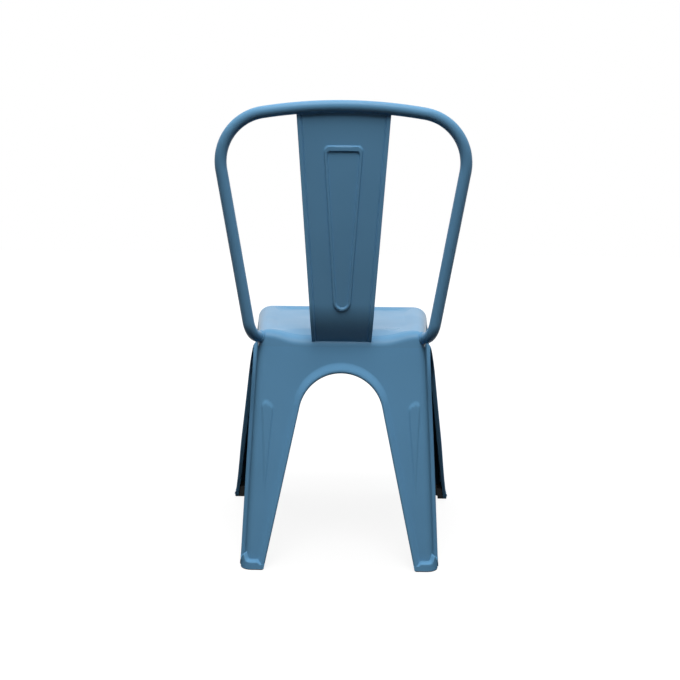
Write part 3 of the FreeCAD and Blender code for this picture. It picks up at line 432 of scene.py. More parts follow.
def side_panel(name, hand):
    """A side panel, made as a folded one is, in two halves that meet at the crown. Columns follow
    its arch from the front foot over the crown to the rear foot. Its bead stands fuller half way up
    the front leg."""
    share = arch_shares()
    border_turns = [1, 1, SIDE_SHOULDER, PANEL_LIFT / SEAM_HEIGHT]
    border_z = np.interp(share, [0, TOP_CORNER, ARC_END, 1], border_turns) * SEAM_HEIGHT
    grids = []
    for end in (-1, 1):
        inner_u, inner_z = arch_line(arch(*SIDE_ARCH), share, PANEL_LIFT)
        groove_u, groove_z = arch_line(arch(*SIDE_ARCH, CROWN_BAND, LEG_BAND), share, PANEL_LIFT)
        border_u = end * side_border(border_z, end) * np.clip(share / TOP_CORNER, 0, 1)
        across, bead_lift = bead(bead_shares())
        across = across[:, None]
        field = np.linspace(0, 1, SIDE_FIELD_ROWS)[1:, None]
        u = np.vstack([groove_u + (inner_u - groove_u) * across, groove_u + (border_u - groove_u) * field])
        z = np.vstack([groove_z + (inner_z - groove_z) * across, groove_z + (border_z - groove_z) * field])
        bead_z, field_z = z[:len(across)], z[len(across):]
        fuller = (end < 0) * smooth((bead_z - FULL_BEAD_FROM) / FULL_BEAD_RUN) * smooth(share / ARC_END)
        dip = seam_dip(field_z) * smooth(field * SIDE_DIP_SLOPE) * smooth(share / TOP_CORNER)
        lift = np.vstack([bead_lift[:, None] * (1 + FULL_BEAD * fuller), -dip])
        low = cuff(z, CUFF_HEIGHT + CUFF_PLATEAU)
        low[:LIP_ROWS - 1] = -np.inf
        lift = np.maximum(lift, low)
        grids.append((u * end, z, lift))
    y, z, lift = (np.hstack([first[:, :0:-1], last]) for first, last in zip(*grids))
    outer = side_face(y, z, lift) * np.array([hand, 1, 1])
    # Outer faces take the legs' lighter blue, which is painted light; inner faces take the darker copy, which
    # is painted shade.
    piece = sheet_piece(name, outer, lightened_leg_coat, painted_shade_coat, flip=(hand > 0))
    return piece


def side_lap(name, hand, end):
    """The lap of a side panel: a strip set one sheet in, that runs on behind the folded corner."""
    z = np.linspace(LAP_FOOT, SEAM_HEIGHT, LAP_ROWS)[None]
    step = np.linspace(-LAP_WIDTH, LAP_WIDTH, LAP_COLUMNS)[:, None]
    y = side_border(z, end) + end * step
    behind = np.full_like(y, -SHEET - SEAM_DIP - LAP_GAP)
    outer = side_face(y, z + 0 * step, behind) * np.array([hand, 1, 1])
    # Outer faces take the legs' lighter blue, which is painted light; inner faces take the darker copy, which
    # is painted shade.
    piece = sheet_piece(name, outer, lightened_leg_coat, painted_shade_coat, flip=(hand * end < 0))
    return piece


for side, hand in (("left", 1), ("right", -1)):
    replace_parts(side_panel("side_leg_sheet_" + side, hand), "side_leg_panel_" + side)
    for place, end in (("front", -1), ("rear", 1)):
        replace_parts(side_lap(f"side_lap_{place}_{side}", hand, end), "side_leg_panel_" + side)


# Seat pan.
# One pressing with rounded corners. Its edge rolls over to a raised rim, a shallow dish lies
# inside that, and a small drain hole is punched in the middle. Its lower edge stands on the
# leg panels and is welded to them from inside.

RIM_HEIGHT = 30.0
REAR_ROLL = 17.0
REAR_CORNER_ROLL = 18.0
CORNER_ROLL_FROM = 60.0
CORNER_ROLL_ACROSS = 70.0
CORNER_ROLL_BACK = 60.0
FRONT_ROLL = 26.0
ROLL_CHANGE_AT = 60.0
ROLL_CHANGE_RUN = 200.0
FRONT_CORNER_SHRINK = 0.8
REAR_CORNER_SHRINK = 0.62
DISH_INSET = 64.0
DISH_FRONT_RADIUS = 45.0
DISH_REAR_RADIUS = 40.0
DISH_DEPTH = 5.0
DISH_FROM = 1.0
DISH_RUN = 22.0
SCOOP_DEPTH = 14.5
SCOOP_HALF = 150.0
SCOOP_FLOOR = 68.0
SCOOP_RUN = 75.0
SCOOP_END = 112.5
SCOOP_FADE = 40.0
CREASE_SOFT = 1.6
DRAIN_RADIUS = 4.5
DRAIN_SINK = 1.0
DRAIN_LIP = 0.06
CORNER_POINTS = 16
SIDE_POINTS = 76
SKIRT_ROWS = 5
ROLL_ROWS = 18
DISH_ROWS = 44
MIDDLE_ROWS = 26
MIDDLE_END = 0.95
DRAIN_ROWS = [0.98, 1.0]
LEVEL_FROM = 0.5


def seat_outline(inset, radii):
    """The seat's plan with its sides moved in by an inset: straight sides, and corners whose centre
    lies radius / sin(half angle) in from the sharp one. Each row of the result is one inset, each
    column a place round the seat."""
    slope = (REAR_TOP[0] - FRONT_TOP[0]) / (REAR_TOP[1] - FRONT_TOP[1])
    widen = inset * math.hypot(1, slope)
    front_y, rear_y = FRONT_TOP[1] + inset, REAR_TOP[1] - inset
    front_x, rear_x = (FRONT_TOP[0] + slope * (y - FRONT_TOP[1]) - widen for y in (front_y, rear_y))
    corners = np.stack([np.stack([front_x, front_y], -1), np.stack([rear_x, rear_y], -1),
                        np.stack([-rear_x, rear_y], -1), np.stack([-front_x, front_y], -1)])
    sides, arcs = [], []
    for number in range(4):
        here, before, after = corners[number], corners[number - 1], corners[(number + 1) % 4]
        back = (before - here) / np.linalg.norm(before - here, axis=-1, keepdims=True)
        ahead = (after - here) / np.linalg.norm(after - here, axis=-1, keepdims=True)
        half = np.arccos(np.sum(back * ahead, axis=-1)) / 2
        radius = radii[0] if number in (0, 3) else radii[1]
        middle = (back + ahead) / np.linalg.norm(back + ahead, axis=-1, keepdims=True)
        centre = here + middle * (radius / np.sin(half))[:, None]
        start_way = (here + back * (radius / np.tan(half))[:, None]) - centre
        start_angle = np.arctan2(start_way[:, 1], start_way[:, 0])
        angle = start_angle[:, None] + (math.pi - 2 * half)[:, None] * np.linspace(0, 1, CORNER_POINTS)
        arcs.append(centre[:, None] + radius[:, None, None] * np.stack([np.cos(angle), np.sin(angle)], -1))
    for number in range(4):
        line = np.linspace(0, 1, SIDE_POINTS + 2)[None, 1:-1, None]
        end, begin = arcs[(number + 1) % 4][:, :1], arcs[number][:, -1:]
        sides.append(begin + (end - begin) * line)
    return np.concatenate([part for pair in zip(arcs, sides) for part in pair], axis=1)


def scoop(x, y):
    """The dip in the rear rim: level in the middle, up to the crest on two arcs a side, 2t2 and
    1 - 2(1 - t)2, and fading forwards into the dish."""
    share = np.clip((SCOOP_HALF - np.abs(x)) / (SCOOP_HALF - SCOOP_FLOOR), 0, 1)
    arcs = np.where(share < 0.5, 2 * share ** 2, 1 - 2 * (1 - share) ** 2)
    ahead = REAR_TOP[1] - y
    depth = SCOOP_DEPTH + (DISH_DEPTH / 2 - SCOOP_DEPTH) * np.clip(ahead / SCOOP_RUN, 0, 1)
    return arcs * depth * smooth((SCOOP_END - ahead) / SCOOP_FADE)


def deeper(first, second):
    """The greater of two depths, with the crease between them softened."""
    return (first + second + np.hypot(first - second, CREASE_SOFT) - CREASE_SOFT) / 2


def seat_pressing():
    """The seat's surface. Rows go up the skirt, over the roll, across the rim, down into the dish,
    and in to the drain hole. The roll is tight at the rear and grows to a full ball at the front:
    its way in is roll (1 - cos turn), its height roll sin turn, and its first turn is the skirt's lean."""
    insets = np.array([0.0, 1.0])
    front_radii = FRONT_CORNER_RADIUS - FRONT_CORNER_SHRINK * insets
    rear_radii = REAR_CORNER_RADIUS - REAR_CORNER_SHRINK * insets
    edge, inner = seat_outline(insets, [front_radii, rear_radii])
    step = inner - edge
    square = step / np.linalg.norm(step, axis=-1, keepdims=True)
    roll = REAR_ROLL + (FRONT_ROLL - REAR_ROLL) * smooth((ROLL_CHANGE_AT - edge[:, 1]) / ROLL_CHANGE_RUN)
    to_corner = smooth((np.abs(edge[:, 0]) - CORNER_ROLL_FROM) / CORNER_ROLL_ACROSS)
    to_corner = to_corner * smooth((edge[:, 1] - CORNER_ROLL_FROM) / CORNER_ROLL_BACK)
    roll = np.maximum(roll, REAR_ROLL + (REAR_CORNER_ROLL - REAR_ROLL) * to_corner)
    rear_slope, front_slope = (REAR_FOOT - REAR_TOP)[1], (FRONT_TOP - FRONT_FOOT)[1]
    face_slope = np.where(square[:, 1] < 0, rear_slope, front_slope) / SEAM_HEIGHT
    side_slope = np.interp(edge[:, 1], [FRONT_TOP[1], REAR_TOP[1]],
                           [(FRONT_FOOT - FRONT_TOP)[0], (REAR_FOOT - REAR_TOP)[0]]) / SEAM_HEIGHT
    lean = np.arctan(face_slope * square[:, 1] ** 2 + side_slope * square[:, 0] ** 2)
    crest_up = RIM_HEIGHT - scoop(edge[:, 0], edge[:, 1])
    roll_in = roll / np.cos(lean) + np.tan(lean) * (crest_up - roll)
    turn = lean + (math.pi / 2 - lean) * np.linspace(0, 1, ROLL_ROWS)[:, None]
    rolled = edge + step * (roll_in - roll * np.cos(turn))[..., None]
    rolled_up = RIM_HEIGHT - scoop(rolled[..., 0], rolled[..., 1]) - roll * (1 - np.sin(turn))
    crest = rolled[-1]
    rise = np.linspace(0, 1, SKIRT_ROWS)[:-1, None]
    skirt = edge + (rolled[0] - edge) * rise[..., None]
    skirt_up = rolled_up[0] * rise

    floor_radii = [np.array([DISH_FRONT_RADIUS]), np.array([DISH_REAR_RADIUS])]
    floor_line = seat_outline(np.array([DISH_INSET]), floor_radii)[0]
    share = np.linspace(0, 1, DISH_ROWS)[1:, None]
    border = crest + (floor_line - crest) * share[..., None]
    dish = DISH_DEPTH * smooth(((DISH_INSET - roll) * share - DISH_FROM) / DISH_RUN)
    border_up = RIM_HEIGHT - deeper(scoop(border[..., 0], border[..., 1]), dish)

    angle = np.arctan2(floor_line[:, 1], floor_line[:, 0])
    drain = DRAIN_RADIUS * np.stack([np.cos(angle), np.sin(angle)], -1)
    to_drain = np.concatenate([np.linspace(0, MIDDLE_END, MIDDLE_ROWS)[1:], DRAIN_ROWS])
    middle = floor_line + (drain - floor_line) * to_drain[:, None, None]
    to_level = smooth(to_drain / LEVEL_FROM)[:, None]
    middle_up = border_up[-1] + (RIM_HEIGHT - DISH_DEPTH - border_up[-1]) * to_level
    middle_up = middle_up - DRAIN_SINK * smooth((to_drain - 1 + DRAIN_LIP) / DRAIN_LIP)[:, None]
    plan = np.concatenate([skirt, rolled, border, middle])
    height = np.concatenate([skirt_up, rolled_up, border_up, middle_up])
    return np.concatenate([plan, SEAM_HEIGHT + height[..., None]], axis=-1)


seat = sheet_piece("seat_pressing", seat_pressing(), blue_coat, closed=True, flip=True)
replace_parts(seat, "seat_pan")


# Crossed braces, rivet, seat weld and splat welds.
# Two folded channels cross under the seat and are riveted together. They, the short weld
# stitches inside the seat's seam and the splat's welds are coated together with the chair.

COATED_NODES = ("brace_upper", "brace_lower", "brace_rivet", "seat_weld", "splat_top_weld", "splat_foot_weld")

for node in COATED_NODES:
    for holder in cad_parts[node].material_slots:
        holder.material = blue_coat


# Rubber feet and stacking bumpers.
# Black moulded rubber: the feet are pushed up into the folded ends of the legs, and the
# bumpers are snapped through holes in the braces so that stacked seats don't scratch.

RUBBER_DARK = (0.006, 0.0065, 0.007, 1)
RUBBER_DUSTY = (0.018, 0.018, 0.018, 1)
RUBBER_SHEEN = 0.2
RUBBER_ROUGH_LOW = 0.55
RUBBER_ROUGH_HIGH = 0.8
DUST_SCALE = 70
DUST_DETAIL = 5
DUST_FROM = 0.4
DUST_FULL = 0.75
GRAIN_SCALE = 1500
GRAIN_STRENGTH = 0.3
GRAIN_DEPTH = 0.0003


def moulded_rubber():
    """Matt rubber: almost black, mottled by dust, with a fine grain."""
    material = bpy.data.materials.new("moulded_rubber")
    material.use_nodes = True
    nodes, links = material.node_tree.nodes, material.node_tree.links
    shader = nodes["Principled BSDF"]
    place = nodes.new("ShaderNodeTexCoord")
    dust = nodes.new("ShaderNodeTexNoise")
    dust.inputs["Scale"].default_value = DUST_SCALE
    dust.inputs["Detail"].default_value = DUST_DETAIL
    links.new(place.outputs["Object"], dust.inputs["Vector"])
    tone = nodes.new("ShaderNodeValToRGB")
    tone.color_ramp.elements[0].position = DUST_FROM
    tone.color_ramp.elements[0].color = RUBBER_DARK
    tone.color_ramp.elements[1].position = DUST_FULL
    tone.color_ramp.elements[1].color = RUBBER_DUSTY
    links.new(dust.outputs["Fac"], tone.inputs["Fac"])
    links.new(tone.outputs["Color"], shader.inputs["Base Color"])
    gloss = nodes.new("ShaderNodeMapRange")
    gloss.inputs["To Min"].default_value = RUBBER_ROUGH_LOW
    gloss.inputs["To Max"].default_value = RUBBER_ROUGH_HIGH
    links.new(dust.outputs["Fac"], gloss.inputs["Value"])
    links.new(gloss.outputs["Result"], shader.inputs["Roughness"])
    shader.inputs["Specular IOR Level"].default_value = RUBBER_SHEEN
    grain = nodes.new("ShaderNodeTexNoise")
    grain.inputs["Scale"].default_value = GRAIN_SCALE
    links.new(place.outputs["Object"], grain.inputs["Vector"])
    bump = nodes.new("ShaderNodeBump")
    bump.inputs["Strength"].default_value = GRAIN_STRENGTH
    bump.inputs["Distance"].default_value = GRAIN_DEPTH
    links.new(grain.outputs["Fac"], bump.inputs["Height"])
    links.new(bump.outputs["Normal"], shader.inputs["Normal"])
    return material


rubber = moulded_rubber()
for corner in ("front_left", "front_right", "rear_left", "rear_right"):
    for node in ("foot_" + corner, "bumper_" + corner):
        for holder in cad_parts[node].material_slots:
            holder.material = rubber


# Back hoop.
# One length of round steel tube, bent to a shallow crown, two round shoulders and two
# straight sides. Each end turns in to the seat's rear corner, is cut to its shape and welded.

TUBE_RADIUS = 10.75
HOOP_LEAN_DEGREES = 6
HOOP_LEAN = math.radians(HOOP_LEAN_DEGREES)
HOOP_FOOT = np.array([0.0, 190.5, 430.0])
HOOP_HALF = 217.5
HOOP_TOP = 845.0
CROWN_RADIUS = 889.0
SHOULDER_RADIUS = 89.0
SIDE_TAPER = math.radians(9.15)
FOOT_BEND = 38.0
FOOT_TARGET = np.array([153.0, 158.5, 423.5])
LONGEST_FOOT = 90.0
HALVINGS = 26
CUT_INSIDE = 0.5
CROWN_RINGS = 24
SHOULDER_RINGS = 40
SIDE_RINGS = 30
FOOT_RINGS = 30
TUBE_SIDES = 48
CAP_RINGS = [0.75, 0.4, 0.0]
ROUND = np.linspace(0, 2 * math.pi, TUBE_SIDES + 1)[:-1]
UP_HOOP = np.array([0.0, math.sin(HOOP_LEAN), math.cos(HOOP_LEAN)])
OFF_HOOP = np.array([0.0, math.cos(HOOP_LEAN), -math.sin(HOOP_LEAN)])


def in_hoop_plane(x, rise):
    """Points of the hoop's leaning plane: its foot, plus x across, plus the rise along its lean."""
    x, rise = np.broadcast_arrays(np.asarray(x, float), rise)
    return HOOP_FOOT + x[..., None] * np.array([1.0, 0, 0]) + rise[..., None] * UP_HOOP


def unit(vector):
    """Vectors divided by their lengths."""
    return vector / np.linalg.norm(vector, axis=-1, keepdims=True)


HOOP_RISE = (HOOP_TOP - HOOP_FOOT[2]) / math.cos(HOOP_LEAN)
shoulder_x = HOOP_HALF - SHOULDER_RADIUS
crown_rise = HOOP_RISE - CROWN_RADIUS
shoulder_rise = crown_rise + math.sqrt((CROWN_RADIUS - SHOULDER_RADIUS) ** 2 - shoulder_x ** 2)
crown_angle = math.atan2(shoulder_rise - crown_rise, shoulder_x)
knee_x = shoulder_x + SHOULDER_RADIUS * math.cos(SIDE_TAPER) - math.tan(SIDE_TAPER) * (
    shoulder_rise - SHOULDER_RADIUS * math.sin(SIDE_TAPER))
knee = in_hoop_plane(knee_x, 0.0)
side_top = in_hoop_plane(shoulder_x + SHOULDER_RADIUS * math.cos(SIDE_TAPER),
                         shoulder_rise - SHOULDER_RADIUS * math.sin(SIDE_TAPER))
down, inward = unit(knee - side_top), unit(FOOT_TARGET - knee)
foot_turn = math.acos(float(down @ inward))
bend_start = knee - down * FOOT_BEND * math.tan(foot_turn / 2)
bend_centre = bend_start + unit(inward - down * float(inward @ down)) * FOOT_BEND


def hoop_line():
    """The tube's centreline from the crown to its foot's bend: a crown arc, a shoulder arc and a
    straight side, each tangent to the next."""
    crown = np.linspace(math.pi / 2, crown_angle, CROWN_RINGS)[:-1]
    shoulder = np.linspace(crown_angle, -SIDE_TAPER, SHOULDER_RINGS)
    top = in_hoop_plane(CROWN_RADIUS * np.cos(crown), crown_rise + CROWN_RADIUS * np.sin(crown))
    corner = in_hoop_plane(shoulder_x + SHOULDER_RADIUS * np.cos(shoulder),
                           shoulder_rise + SHOULDER_RADIUS * np.sin(shoulder))
    side = corner[-1] + (bend_start - corner[-1]) * np.linspace(0, 1, SIDE_RINGS)[1:-1, None]
    return np.vstack([top, corner, side])


def round_tube(line, along, around, radius):
    """Points on a round tube, square to the way along its line: line + radius (cos first + sin second)."""
    first = unit(OFF_HOOP - (along @ OFF_HOOP)[..., None] * along)
    second = np.cross(along, first)
    spoke = np.cos(around)[..., None] * first + np.sin(around)[..., None] * second
    return line + np.asarray(radius)[..., None] * spoke


def foot_tube(distance, around, radius):
    """The same for the tube's foot, this far down from the start of its bend: an arc, then straight."""
    distance, around = np.broadcast_arrays(distance, around)
    swing = np.clip(distance / FOOT_BEND, 0, foot_turn)[..., None]
    to_start = unit(bend_start - bend_centre)
    line = bend_centre + FOOT_BEND * (np.cos(swing) * to_start + np.sin(swing) * down)
    along = np.cos(swing) * down - np.sin(swing) * to_start
    line = line + along * np.maximum(distance - FOOT_BEND * foot_turn, 0)[..., None]
    return round_tube(line, along, around, radius)


def corner_clearance(point):
    """How far a point lies outside the seat's rear corner: the rounded upright corner below the rim,
    and the rolled rim above it."""
    height = point[..., 2] - SEAM_HEIGHT
    corner = REAR_FOOT + (REAR_TOP - REAR_FOOT) * (1 + np.minimum(height, 0) / SEAM_HEIGHT)[..., None]
    behind = point[..., 1] - corner[..., 1]
    taper = (FRONT_TOP[0] - REAR_TOP[0]) / (REAR_TOP[1] - FRONT_TOP[1])
    beside = point[..., 0] - corner[..., 0] + behind * taper
    radius = REAR_CORNER_RADIUS
    flat = np.hypot(np.maximum(behind + radius, 0), np.maximum(beside + radius, 0)) - radius
    flat = flat + np.minimum(np.maximum(behind + radius, beside + radius), 0)
    above = np.maximum(height - (RIM_HEIGHT - REAR_ROLL), 0)
    rolled = np.hypot(np.maximum(flat + REAR_ROLL, 0), above) - REAR_ROLL
    return np.where(above > 0, rolled, flat)


def cut_distance(around, radius, inside):
    """How far down the tube's wall runs before it meets the seat, found by halving the stretch."""
    near = np.zeros(np.broadcast(around, radius).shape)
    far = near + LONGEST_FOOT
    for _ in range(HALVINGS):
        middle = (near + far) / 2
        out = corner_clearance(foot_tube(middle, around, radius)) > -inside
        near, far = np.where(out, middle, near), np.where(out, far, middle)
    return near


line = hoop_line()
along = unit(np.gradient(line, axis=0))
upper = round_tube(line[:, None], along[:, None], ROUND, TUBE_RADIUS)
cut_at = cut_distance(ROUND, TUBE_RADIUS, CUT_INSIDE)
foot = foot_tube(np.linspace(0, 1, FOOT_RINGS)[:, None] * cut_at, ROUND, TUBE_RADIUS)
shrink = TUBE_RADIUS * np.array(CAP_RINGS)[:, None]
cap = foot_tube(cut_distance(ROUND, shrink, CUT_INSIDE), ROUND, shrink + 0 * ROUND)
half_tube = np.concatenate([upper, foot, cap])
mirror = half_tube[:0:-1] * np.array([-1.0, 1, 1])
tube = np.concatenate([mirror, half_tube])
numbers = np.arange(tube.shape[0] * tube.shape[1]).reshape(tube.shape[:2])
tube_faces = cells(np.hstack([numbers, numbers[:, :1]]))
hoop = mesh_piece("back_hoop_tube", tube.reshape(-1, 3), tube_faces, blue_coat)
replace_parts(hoop, "back_hoop")


# Hoop welds.
# A bead laid round each coped tube end ties it to the seat's corner. It is dressed by hand
# and coated over, so only a low ripple shows.

WELD_RADIUS = 1.9
WELD_OUTSIDE = 0.3
RIPPLE_COUNT = 26
RIPPLE_SHARE = 0.07
SWELL_COUNT = 5
SWELL_SHARE = 0.05
WELD_RINGS = 200
WELD_SIDES = 12


def ring_weld(name, hand):
    """A small circle carried round the tube's cut end, its radius rippling as the bead was laid:
    WELD_RADIUS (1 + a cos 26t + b sin 5t)."""
    swing = np.linspace(0, 2 * math.pi, WELD_RINGS + 1)[:-1]
    distance = cut_distance(swing, TUBE_RADIUS, -WELD_OUTSIDE)
    middle = foot_tube(distance, swing, TUBE_RADIUS)
    spoke = unit(middle - foot_tube(distance, swing, 0.0))
    way = unit(np.roll(middle, -1, axis=0) - np.roll(middle, 1, axis=0))
    third = np.cross(spoke, way)
    ripple = RIPPLE_SHARE * np.cos(RIPPLE_COUNT * swing) + SWELL_SHARE * np.sin(SWELL_COUNT * swing)
    radius = WELD_RADIUS * (1 + ripple)[:, None, None]
    turn = np.linspace(0, 2 * math.pi, WELD_SIDES + 1)[:-1, None]
    circle = np.cos(turn) * spoke[:, None] + np.sin(turn) * third[:, None]
    point = (middle[:, None] + radius * circle) * np.array([hand, 1, 1])
    index = np.arange(point.shape[0] * point.shape[1]).reshape(point.shape[:2])
    index = np.hstack([index, index[:, :1]])
    index = np.vstack([index, index[:1]])
    faces = cells(index) if hand > 0 else cells(index)[:, ::-1]
    piece = mesh_piece(name, point.reshape(-1, 3), faces, blue_coat)
    return piece


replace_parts(ring_weld("hoop_bead_left", 1), "hoop_weld_left")
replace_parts(ring_weld("hoop_bead_right", -1), "hoop_weld_right")


# Back splat.
# One tapered sheet, hemmed along both sides and pressed with a long raised loop. Its top is
# welded under the hoop's crown. Its lower end curves forwards on to the seat's rear rim.

SPLAT_TOP_HALF = 84.0
SPLAT_BEND_HALF = 60.0
SPLAT_FOOT_HALF = 54.0
SPLAT_BEND_HEIGHT = 492.0
SPLAT_IN_TUBE = 1.5
BEND_RADIUS = 127.0
FOOT_LEAN_DEGREES = 33
FOOT_RUN = 22.5
HEM = 7.2
HEM_EDGE = 0.9
HEM_ROUND = 0.8
HEM_ROUND_START = 0.35
HEM_GROOVE = 1.0
LOOP_WIDTH = 6.6
LOOP_TOP_WIDTH = 10.5
LOOP_TOP_HEIGHT = 777.0
LOOP_FOOT_HEIGHT = 478.0
LOOP_TOP_HALF = 35.0
LOOP_FOOT_HALF = 17.0
LOOP_CORNER = 10.5
LOOP_INNER_CORNER = 0.6
LOOP_RISE = 2.7
LOOP_EDGE = 1.6
HEM_SHARE = 0.14
HEM_COLUMNS = 16
SPLAT_COLUMNS = 150
SPLAT_ROWS = 190
BEND_ROWS = 35
FOOT_ROWS = 7


def up_hoop(height):
    """How far up the hoop's plane a height above the floor lies."""
    return (height - HOOP_FOOT[2]) / math.cos(HOOP_LEAN)


SPLAT_BEND = up_hoop(SPLAT_BEND_HEIGHT)
BEND_SWING = math.radians(FOOT_LEAN_DEGREES - HOOP_LEAN_DEGREES)
LOOP_TOP = up_hoop(LOOP_TOP_HEIGHT)
LOOP_FOOT = up_hoop(LOOP_FOOT_HEIGHT)


def loop_distance(x, rise, inset, top_inset):
    """Signed distance to the loop's line, moved in by an inset: square-topped with round corners,
    tapered, and rounded at its foot. It is negative inside."""
    foot_radius = LOOP_FOOT_HALF - inset
    foot_centre = LOOP_FOOT + LOOP_FOOT_HALF
    slope = (LOOP_TOP_HALF - LOOP_FOOT_HALF) / (LOOP_TOP - LOOP_CORNER - foot_centre)
    side = (np.abs(x) - foot_radius - slope * (rise - foot_centre)) * math.cos(math.atan(slope))
    corner = LOOP_CORNER - inset * LOOP_INNER_CORNER
    above = rise - (LOOP_TOP - top_inset)
    pushed = np.hypot(np.maximum(side + corner, 0), np.maximum(above + corner, 0)) - corner
    pushed = pushed + np.minimum(np.maximum(side + corner, above + corner), 0)
    return np.where(rise < foot_centre, np.hypot(x, rise - foot_centre) - foot_radius, pushed)


def loop_relief(x, rise):
    """The raised loop: a flat-topped ridge between its outer and its inner line."""
    outside = loop_distance(x, rise, 0.0, 0.0)
    inside = loop_distance(x, rise, LOOP_WIDTH, LOOP_TOP_WIDTH)
    return LOOP_RISE * smooth(-outside / LOOP_EDGE) * smooth(inside / LOOP_EDGE)


def splat_surface():
    """The splat's rear surface and wall. Columns run across it, rows down its side profile: straight
    down the hoop's plane, round the bend, and along its foot. Round the bend a point drops by
    radius sin(swing) and moves forwards by radius (1 - cos(swing))."""
    hem_part = np.linspace(1 - HEM_SHARE, 1, HEM_COLUMNS)[1:]
    middle_part = np.linspace(HEM_SHARE - 1, 1 - HEM_SHARE, SPLAT_COLUMNS)
    across = np.concatenate([-hem_part[::-1], middle_part, hem_part])
    crown_low = CROWN_RADIUS - TUBE_RADIUS + SPLAT_IN_TUBE
    top = crown_rise + np.sqrt(crown_low ** 2 - (across * SPLAT_TOP_HALF) ** 2)
    straight = top + (SPLAT_BEND - top) * np.linspace(0, 1, SPLAT_ROWS)[:, None]
    swing = np.linspace(0, BEND_SWING, BEND_ROWS + 1)[1:, None] + 0 * across
    run = np.linspace(0, FOOT_RUN, FOOT_ROWS + 1)[1:, None] + 0 * across
    off = np.concatenate([
        np.zeros_like(straight), BEND_RADIUS * (np.cos(swing) - 1),
        BEND_RADIUS * (math.cos(BEND_SWING) - 1) - run * math.sin(BEND_SWING)])
    rise = np.concatenate([
        straight, SPLAT_BEND - BEND_RADIUS * np.sin(swing),
        SPLAT_BEND - BEND_RADIUS * math.sin(BEND_SWING) - run * math.cos(BEND_SWING)])
    half_at = [SPLAT_FOOT_HALF, SPLAT_BEND_HALF, SPLAT_TOP_HALF]
    half = np.interp(rise, [-2 * FOOT_RUN, SPLAT_BEND, HOOP_RISE], half_at)
    x = across * half
    angle = np.concatenate([np.zeros_like(straight), swing, np.full_like(run, BEND_SWING)])
    from_edge = half - np.abs(x)
    hem = SHEET * smooth((HEM - from_edge) / HEM_EDGE) * smooth(from_edge / HEM_ROUND + HEM_ROUND_START)
    groove = HEM_GROOVE * np.exp(-((from_edge - HEM - HEM_GROOVE) / HEM_EDGE) ** 2)
    lift = SHEET + hem - groove + loop_relief(x, rise)
    point = in_hoop_plane(x, rise) + off[..., None] * OFF_HOOP
    outward = np.cos(angle)[..., None] * OFF_HOOP - np.sin(angle)[..., None] * UP_HOOP
    return point + lift[..., None] * outward, SHEET + hem


splat_points, splat_wall = splat_surface()
splat = sheet_piece("back_splat_sheet", splat_points, blue_coat, wall=splat_wall, flip=True)
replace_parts(splat, "back_splat")


# Floor, backdrop light and camera.
# A plain pale floor that fades into a white surround, a soft sky that is bright overhead and dark
# low down, a soft lamp above and a larger one behind, seen from behind and a little above.

FLOOR_HALF = 6
FLOOR_BOUNCE = 0.012
FLOOR_GLOW = 0.87
FLOOR_SHADOW = 0.18
FADE_FROM = 0.3
FADE_TO = 1.4
SKY_DARK_BELOW = 0.73
SKY_FULL_ABOVE = 0.88
SKY_DARK = 0.004
SKY_STRENGTH = 0.92


def seen_directly(nodes, links):
    """1 for rays from the camera, mirror rays and rays through glass, 0 for the rays that light a surface."""
    ray = nodes.new("ShaderNodeLightPath")
    total = ray.outputs["Is Camera Ray"]
    for kind in ("Is Glossy Ray", "Is Transmission Ray"):
        larger = nodes.new("ShaderNodeMath")
        larger.operation = "MAXIMUM"
        links.new(total, larger.inputs[0])
        links.new(ray.outputs[kind], larger.inputs[1])
        total = larger.outputs[0]
    return total


def pale_floor():
    """Nearly white to the camera, with the chair's soft shadow, and dark in the light it throws back."""
    material = bpy.data.materials.new("pale_floor")
    material.use_nodes = True
    nodes, links = material.node_tree.nodes, material.node_tree.links
    nodes.clear()
    output = nodes.new("ShaderNodeOutputMaterial")
    dull = nodes.new("ShaderNodeBsdfDiffuse")
    dull.inputs["Color"].default_value = (FLOOR_BOUNCE,) * 3 + (1,)
    place = nodes.new("ShaderNodeTexCoord")
    far = nodes.new("ShaderNodeVectorMath")
    far.operation = "LENGTH"
    links.new(place.outputs["Object"], far.inputs[0])
    fade = nodes.new("ShaderNodeMapRange")
    fade.interpolation_type = "SMOOTHSTEP"
    fade.inputs["From Min"].default_value = FADE_FROM
    fade.inputs["From Max"].default_value = FADE_TO
    fade.inputs["To Min"].default_value = FLOOR_GLOW
    fade.inputs["To Max"].default_value = 1.0
    links.new(far.outputs["Value"], fade.inputs["Value"])
    glow = nodes.new("ShaderNodeEmission")
    links.new(fade.outputs["Result"], glow.inputs["Strength"])
    matt = nodes.new("ShaderNodeBsdfDiffuse")
    matt.inputs["Color"].default_value = (FLOOR_SHADOW,) * 3 + (1,)
    pale = nodes.new("ShaderNodeAddShader")
    links.new(glow.outputs["Emission"], pale.inputs[0])
    links.new(matt.outputs["BSDF"], pale.inputs[1])
    mix = nodes.new("ShaderNodeMixShader")
    links.new(seen_directly(nodes, links), mix.inputs["Fac"])
    links.new(dull.outputs["BSDF"], mix.inputs[1])
    links.new(pale.outputs["Shader"], mix.inputs[2])
    links.new(mix.outputs["Shader"], output.inputs["Surface"])
    return material


floor_mesh = bpy.data.meshes.new("floor")
floor_corners = [(x * FLOOR_HALF, y * FLOOR_HALF, 0) for x, y in ((-1, -1), (1, -1), (1, 1), (-1, 1))]
floor_mesh.from_pydata(floor_corners, [], [(0, 1, 2, 3)])
floor_mesh.materials.append(pale_floor())
floor = bpy.data.objects.new("floor", floor_mesh)
bpy.context.collection.objects.link(floor)

